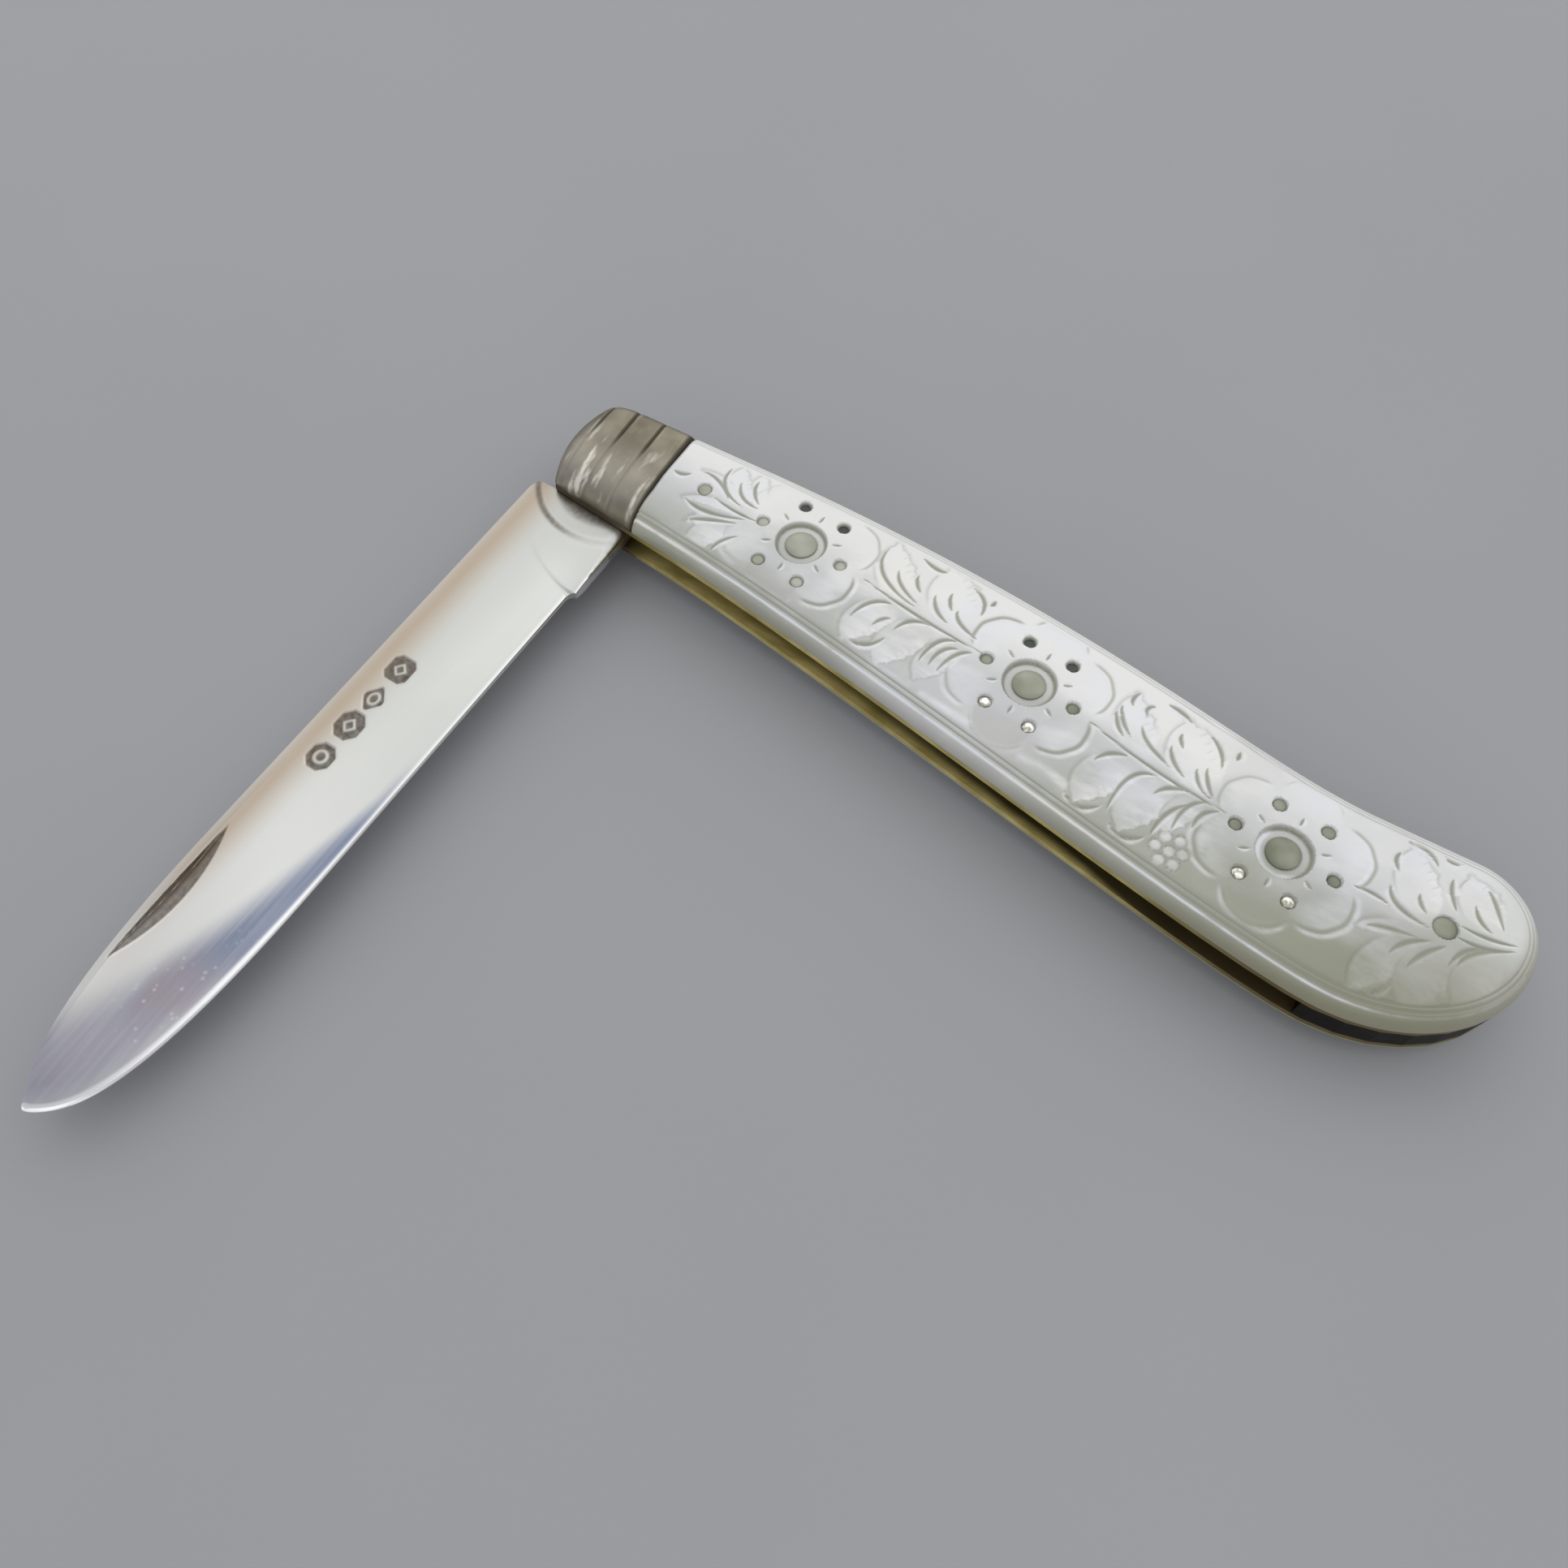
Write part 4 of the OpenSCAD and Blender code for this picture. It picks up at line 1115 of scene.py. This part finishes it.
def blade_half(u, v):
    """Half the blade's thickness at each point."""
    from_spine = beside(u, v, spine_line)[0]
    from_edge = beside(u, v, edge_line)[0]
    bevel = BEVEL_W + (BELLY_BEVEL_W - BEVEL_W) * smooth((u - BELLY_AT) / BELLY_L)
    thin = np.clip((from_edge - bevel) / TAPER_W, 0, 1)
    half = BEVEL_HALF + (BLADE_HALF - BEVEL_HALF) * (1 - (1 - thin) ** 2)
    rounded = EDGE_HALF + (BEVEL_HALF - EDGE_HALF) * quarter(from_edge / bevel)
    half = np.where(from_edge < bevel, rounded, half)
    half = np.minimum(half, np.interp(from_spine, [0, SPINE_BEVEL_W], [SPINE_HALF, BLADE_HALF]))
    crease = CHOIL_AT - CREASE_GAP - CREASE_BOW * np.maximum(EDGE - v, 0) ** 1.7
    half += CREASE_STEP * (1 - smooth((u - crease + 0.2) / 0.4)) * smooth((v + 4) / 3)
    from_heel = np.clip((HEEL - v) / HEEL_W, 0, 1)
    heel = HEEL_HALF + (BLADE_HALF - HEEL_HALF) * quarter(from_heel)
    on_heel = (u < CHOIL_AT) & (v > EDGE - HEEL_W)
    half = np.where(on_heel, np.minimum(np.maximum(half, HEEL_HALF), heel), half)
    boss = 1 - smooth((np.hypot(u, v) - BOSS_R + 0.7) / 1.4)
    boss = np.where(u < TANG_END, 1, boss * from_heel)
    return half + (BOSS_HALF - half) * boss


def nick(u, v):
    """Depth of the nail nick."""
    wheel = ((NICK_L / 2) ** 2 + NICK_DEPTH ** 2) / (2 * NICK_DEPTH)
    lens_depth = NICK_DEPTH * (1 - np.maximum(v - NICK_V, 0) / NICK_W) - (u - NICK_AT) ** 2 / (2 * wheel)
    return np.maximum(lens_depth, 0) * smooth((v - NICK_V) / NICK_WALL + 1)


print("nail nick", NICK_L, "mm long")

# %% [markdown]
# Polished silver is nearly a mirror, so its colour is mostly what it reflects. Some of the colour is age:
# fine scratches along the blade, lighter pits in the lilac, and dark dirt in the stamps and the nick. The
# rest is painted light: the warm band along the spine and the lilac one towards the tip are painted
# reflections, the base is painted darker towards the root, where the window's reflection falls, the bare
# edge gets a painted highlight, and round the boss dirt is mixed with painted shade. A Mapping node turns
# the pattern to the blade.

# %% Blade silver
blade_silver, shader, place = new_finish("blade_silver")
turned = place.node("ShaderNodeMapping", {}, {"Vector": place, "Rotation": (0, 0, HALF_ANGLE)})
stain = mark(place, "stain")
along, across = axis(turned, "X"), axis(turned, "Y")
cloud = noise(turned, 0.006, 4, (0.4, 1.0, 1.0))
scratch = noise(turned, 0.00035, 4, (0.02, 1.0, 1.0))
# painted reflection: a warm band along the spine
warm_edge = across + 0.0012 * cloud
warm = (1 - step(warm_edge, -0.0050, -0.0012)) * (1 - step(along, 0.040, 0.054))
warm = warm * (0.45 + 0.55 * step(across, -0.0058, -0.0044)) * (0.7 + 0.7 * cloud)
# painted reflection: the lilac band by the edge, bluer and darker mid-blade, paler at the tip
cool = mark(place, "lilac") * (0.75 + 0.5 * cloud)
pit_gap = turned.node("ShaderNodeTexVoronoi", {}, {"Vector": turned, "Scale": 1300.0})
pits = (1 - step(pit_gap, 0.05, 0.26)) * step(along, 0.041, 0.052) * step(cloud, 0.36, 0.56)
# painted shade: the base is darker towards the root, where the window's reflection falls
bright = tint(step(along, 0.024, 0.050), (0.60, 0.61, 0.59), (0.79, 0.79, 0.78))
bright = tint(warm, bright, (0.46, 0.37, 0.28))
blue = tint(step(along, 0.044, 0.055), (0.23, 0.265, 0.365), (0.455, 0.45, 0.52))
bright = tint(cool * (0.85 + 0.2 * step(scratch, 0.3, 0.7)), bright, blue)
bright = tint(cool * step(cloud, 0.52, 0.66) * step(along, 0.045, 0.051) * 0.5, bright, (0.40, 0.32, 0.34))
bright = tint(pits * 0.4, bright, (0.80, 0.79, 0.77))
# painted highlight on the bare edge
bright = tint(mark(place, "keen_edge_shine"), bright, (0.95, 0.95, 0.96))
# dirt in the stamps and the nick, and dirt with painted shade round the boss and along its step
grime_and_shade = step(stain, 0.05, 1.0) * (0.55 + 0.65 * noise(turned, 0.0004, 3))
plug(shader, {
    "Base Color": tint(grime_and_shade, bright, (0.12, 0.10, 0.08)),
    "Metallic": 1.0,
    "Roughness": 0.16 + 0.10 * cloud + 0.06 * scratch + 0.2 * stain,
    "Normal": bump(scratch, 0.12, 0.00002),
})
print("blade silver has", len(blade_silver.node_tree.nodes), "nodes")

# %% [markdown]
# Each sheet carries three masks, painted on its points for the finish to read: dirt with painted shade
# round the boss, a line of painted shade on its step and dirt in the cuts, a painted highlight on the bare
# edge, and a band of lilac, a painted reflection, that widens towards the tip. Only the upper sheet has
# the nick and the stamps. The two sheets are then bridged all round.

# %% Blade
DIRT_SHADE_R, DIRT_SHADE_W = 4.0, 1.4
HALO_R, HALO_W = 5.5, 0.8
EDGE_SHINE_W, EDGE_SHINE_TIP_W, EDGE_SHINE_FADE, EDGE_SHINE_AT, EDGE_SHINE_L = 0.05, 0.25, 0.3, 34, 18
LILAC_FROM, LILAC_FULL = 27, 36
BAND_FROM, BAND_L, BAND_W, BAND_TIP_W = 32, 24, 0.3, 3.7


def sheet(u, v, upper):
    """Points and masks of one side of the blade."""
    z = blade_half(u, v)
    out = np.hypot(u, v)
    # painted shade along the boss's step, and dirt with painted shade round the pivot by the bolster
    ring = ridge(out - BOSS_R, 0.5) * (u > SHOULDER) * (1 - 0.65 * smooth((v + 2) / 4))
    dark = np.maximum(0.75 * ring, 0.75 * (1 - smooth((out - DIRT_SHADE_R) / DIRT_SHADE_W)))
    dark = np.maximum(dark, 0.25 * (1 - smooth((out - HALO_R) / HALO_W)))
    from_edge = np.where(u > CHOIL_AT, beside(u, v, edge_line)[0], np.maximum(HEEL - v, 0))
    # painted highlight on the bare edge, wider towards the tip
    edge_shine_w = EDGE_SHINE_W + EDGE_SHINE_TIP_W * smooth((u - EDGE_SHINE_AT) / EDGE_SHINE_L)
    keen_edge_shine = (1 - smooth((from_edge - edge_shine_w) / EDGE_SHINE_FADE)) * (u > BOSS_R)
    # the lilac band, a painted reflection
    nearing = smooth((u - LILAC_FROM) / (LILAC_FULL - LILAC_FROM))
    widening = np.clip((u - BAND_FROM) / BAND_L, 0, 1)
    band_w = BAND_W + BAND_TIP_W * widening ** 1.6
    lilac = nearing * (1 - smooth((from_edge - band_w) / (0.8 + 3.0 * widening)))
    lilac *= 1 - 0.4 * smooth((u - 45) / 6) * (1 - smooth(from_edge / 1.9))
    if upper:
        depth, sunk = stamps(u, v)
        cut = nick(u, v)
        z = z - depth - cut
        in_nick = np.clip(cut / 0.05, 0, 1) * (0.85 - 0.3 * cut / NICK_DEPTH)
        dark = np.maximum(dark, np.maximum(0.95 * sunk, in_nick))
    lean = np.clip(-u / CAM_R, 0, 1) * math.tan(HALF_ANGLE - math.pi / 2)
    points = np.stack([u - lean * v, v, z if upper else -z], axis=1)
    return points, dark, keen_edge_shine, lilac


bm = bmesh.new()
columns, rows = len(columns_u) - 1, len(rows_in) - 1
for _ in SIDES:
    bmesh.ops.create_grid(bm, x_segments=columns, y_segments=rows, size=1)
spot = np.array([v.co for v in bm.verts])[:len(bm.verts) // 2]
u = columns_u[np.rint((spot[:, 0] + 1) / 2 * columns).astype(int)]
v = across_blade(u, rows_in[np.rint((spot[:, 1] + 1) / 2 * rows).astype(int)])
both_sides = zip(*(sheet(u, v, upper) for upper in SIDES.values()))
points, *masks = (np.concatenate(pair) for pair in both_sides)
settle(bm, points)
for name, values in zip(("stain", "keen_edge_shine", "lilac"), masks):
    paint(bm, name, values)
bmesh.ops.remove_doubles(bm, verts=bm.verts, dist=1e-5)
bmesh.ops.bridge_loops(bm, edges=[e for e in bm.edges if e.is_boundary])
bmesh.ops.recalc_face_normals(bm, faces=bm.faces)
bmesh.ops.rotate(bm, cent=(0, 0, 0), matrix=Matrix.Rotation(-HALF_ANGLE, 3, "Z"), verts=bm.verts)
bmesh.ops.translate(bm, vec=(0, 0, BLADE_Z), verts=bm.verts)
print("open edges of the blade", sum(e.is_boundary for e in bm.edges))
piece(bm, "silver_blade", blade_silver, ["blade"], body="blade", crisp=28)

# %% [markdown]
# ## Pins and rivets
# The pins are old silver, grey green and dull, and darker towards the tail. A few of the small ones get
# speckles of painted glint, so they have a finish of their own.

# %% Pin silver
pin_silver, shader, place = new_finish("pin_silver")
speck = noise(place, 0.0005, 4)
to_tail = step(axis(place, "X"), 0.012, 0.062)
dull = tint(to_tail, (0.34, 0.35, 0.28), (0.17, 0.185, 0.13))
lighter = tint(to_tail, (0.52, 0.52, 0.46), (0.34, 0.35, 0.28))
patch = noise(place, 0.003, 2)
plug(shader, {
    "Base Color": tint(step(patch, 0.3, 0.7), dull, lighter),
    "Metallic": 0.6,
    "Roughness": 0.38 + 0.2 * speck,
    "Normal": bump(speck, 0.3, 0.00003),
})
painted_glint_pin, shader, place = new_finish("painted_glint_pin")
speck = noise(place, 0.0005, 4)
# painted glint: bright speckles on these dots
plug(shader, {
    "Base Color": tint(step(speck, 0.42, 0.56), (0.40, 0.39, 0.31), (0.92, 0.91, 0.87)),
    "Metallic": 1.0,
    "Roughness": 0.16 + 0.15 * speck,
    "Normal": bump(speck, 0.3, 0.00002),
})
print("pin silver has", len(pin_silver.node_tree.nodes), "nodes")

# %% [markdown]
# Pins are turned: half a section is drawn beside the axis and spun once round it. Their ends are
# slightly domed by the hammer. The flower rivets have flat heads that sit in the wells, and each
# drilled dot holds a small pin of its own, except where it is lost and the hole is empty.

# %% Turning a pin
FACE = 7.4
MID = FACE / 2


def turn_pin(bm, profile, place):
    """Spins a section, given as (radius, height), round an upright axis at a place."""
    verts = [bm.verts.new((place[0] + r, place[1], z)) for r, z in profile]
    edges = [bm.edges.new(pair) for pair in zip(verts, verts[1:])]
    bmesh.ops.spin(bm, geom=verts + edges, cent=(*place, 0), axis=(0, 0, 1), angle=2 * math.pi, steps=40,
                   use_merge=True)


def pins(name, profile, places, nodes, upper, finish=pin_silver):
    """One piece of pins that share a section. Heights of the section are from the slot's middle."""
    bm = bmesh.new()
    for place in places:
        turn_pin(bm, profile, place)
    bmesh.ops.remove_doubles(bm, verts=bm.verts, dist=1e-4)
    if not upper:
        bmesh.ops.scale(bm, vec=(1, 1, -1), verts=bm.verts)
    bmesh.ops.translate(bm, vec=(0, 0, MID), verts=bm.verts)
    bmesh.ops.recalc_face_normals(bm, faces=bm.faces)
    piece(bm, name, finish, nodes, crisp=50)


def domed(radius, top, foot):
    """Section of a plain pin with a domed end."""
    return [(0, top), (radius * 0.55, top - 0.015), (radius * 0.88, top - 0.05), (radius, top - 0.12),
            (radius, foot), (0, foot)]


def both_ends(radius, top):
    """Section of a pin that goes right through, with the same end below as above."""
    half = domed(radius, top, 0)[:-1]
    return half + [(r, -z) for r, z in reversed(half[:-1])]


print("pins turned about the slot's middle,", MID, "mm up")

# %% [markdown]
# The two sides have the same pins, apart from the dots that are lost on the upper one. The pins at the
# tail and at the pivot go right through. The pivot was filed flush and lies hidden under the bolsters.

# %% Pins
PIN_SUNK, PIVOT_SUNK = 0.08, 0.4
HEAD_PIN_R, TAIL_PIN_R, PIVOT_R = 0.55, 0.8, 1.1
RIVET_HEAD_T, RIVET_R = 0.2, 0.7
SLOT_HALF = 1.0
# dots whose pins get the painted glint
PAINTED_GLINT_DOTS = {1: (), 2: (4, 5), 3: (4, 5)}
DOT_SECTION = domed(DOT_R - 0.02, MID - 0.2, MID - DOT_DEPTH - 0.3)
PIN_TOP = MID - PIN_SUNK
WELL_FLOOR = MID - WELL_DEPTH
RIVET_SECTION = [
    (0, WELL_FLOOR + RIVET_HEAD_T), (0.8, WELL_FLOOR + RIVET_HEAD_T - 0.01),
    (RIVET_HEAD_R - 0.1, WELL_FLOOR + RIVET_HEAD_T - 0.04), (RIVET_HEAD_R, WELL_FLOOR + RIVET_HEAD_T - 0.1),
    (RIVET_HEAD_R, WELL_FLOOR), (RIVET_R, WELL_FLOOR), (RIVET_R, SLOT_HALF), (0, SLOT_HALF)]
for side, upper in SIDES.items():
    pins(side + "_head_stud", domed(HEAD_PIN_R, PIN_TOP, SLOT_HALF), [HEAD_PIN], [side + "_head_pin"], upper)
    for number, centre in enumerate(FLOWERS, 1):
        node = f"{side}_flower_rivet_{number}"
        pins(f"{side}_rivet_head_{number}", RIVET_SECTION, [centre], [node], upper)
        missing = LOST_DOTS[number] if upper else ()
        glinting = PAINTED_GLINT_DOTS[number]
        places = dot_places(centre, [k for k in range(6) if k not in missing + glinting])
        pins(f"{side}_dot_pins_{number}", DOT_SECTION, places, [], upper)
        if glinting:
            places = dot_places(centre, glinting)
            pins(f"{side}_painted_glint_dots_{number}", DOT_SECTION, places, [], upper, painted_glint_pin)
pins("tail_stud", both_ends(TAIL_PIN_R, PIN_TOP), [TAIL_PIN], ["tail_pin"], True)
pivot_section = both_ends(PIVOT_R, MID - PIVOT_SUNK)
pins("pivot_stud", pivot_section, [(0, 0)], ["pivot_pin"], True, bolster_silver)

# %% [markdown]
# ## Brass and steel
# The liners, the back spring and its hidden pin are right as they come from the frame, so they only
# get a finish. The brass is old and olive where it shows along the mouth. Further into the slot, towards
# the tail and by the bolster it is painted nearly black as shade. How far in a place lies comes from a
# cubic that follows the mouth's curve.

# %% Liner brass
liner_brass, shader, place = new_finish("liner_brass")
speck = noise(place, 0.0012, 5, (0.4, 1.0, 1.0))
olive = tint(step(speck, 0.3, 0.75), (0.50, 0.41, 0.13), (0.78, 0.66, 0.28))
to_tail, height = axis(place, "X"), axis(place, "Z")
c3, c2, c1, c0 = np.polyfit(mouth_row[:, 0] * MM, mouth_row[:, 1] * MM, 3).tolist()
inward = axis(place, "Y") - (c0 + to_tail * (c1 + to_tail * (c2 + to_tail * c3)))
# painted shade deeper in the slot, darker towards the tail
in_slot = step(height, 0.00258, 0.00268) * (1 - step(height, 0.0030, 0.0035))
in_slot = in_slot * step(inward + 0.0012 * step(to_tail, 0.044, 0.056), 0.0002, 0.0010)
olive = tint(in_slot * (0.3 + 0.65 * step(to_tail, 0.012, 0.042)), olive, (0.05, 0.04, 0.012))
# painted shade by the bolster and towards the tail
unshaded = step(to_tail, 0.003, 0.006) * (1 - 0.8 * step(to_tail, 0.046, 0.060))
plug(shader, {
    "Base Color": tint(unshaded, (0.10, 0.07, 0.03), olive),
    "Metallic": 0.6,
    "Roughness": 0.40 + 0.2 * speck,
    "Normal": bump(speck, 0.25, 0.00004),
})
print("liner brass has", len(liner_brass.node_tree.nodes), "nodes")

# %% [markdown]
# The spring is one bar that closes the back of the handle and presses on the tang. It is dark, stained
# steel, painted near black inside the mouth as shade, and grey along the back, with fine lines of the file.
# A CAD object keeps its shape and its place, so these finishes only take over its material slots.

# %% Spring steel
spring_steel, shader, place = new_finish("spring_steel")
filed = noise(place, 0.0003, 4, (0.04, 1.0, 1.0))
cloud = noise(place, 0.004, 3)
# painted shade: near black inside the mouth; the lighter part is the steel along the back
lighter = step(axis(place, "Y") + 0.115 * axis(place, "X"), 0.002, 0.006)
steel = tint(step(cloud, 0.3, 0.7), (0.10, 0.09, 0.085), (0.26, 0.25, 0.24))
plug(shader, {
    "Base Color": tint(lighter, tint(cloud, (0.010, 0.008, 0.007), (0.032, 0.026, 0.021)), steel),
    "Metallic": 1.0,
    "Roughness": 0.42 + 0.2 * filed,
    "Normal": bump(filed, 0.3, 0.00003),
})
CAD_FINISHES = {
    "upper_liner": liner_brass, "lower_liner": liner_brass, "back_spring": spring_steel,
    "spring_pin": spring_steel,
}
for node, finish in CAD_FINISHES.items():
    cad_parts[node].data.materials.clear()
    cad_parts[node].data.materials.append(finish)
print("finishes on", sorted(CAD_FINISHES))
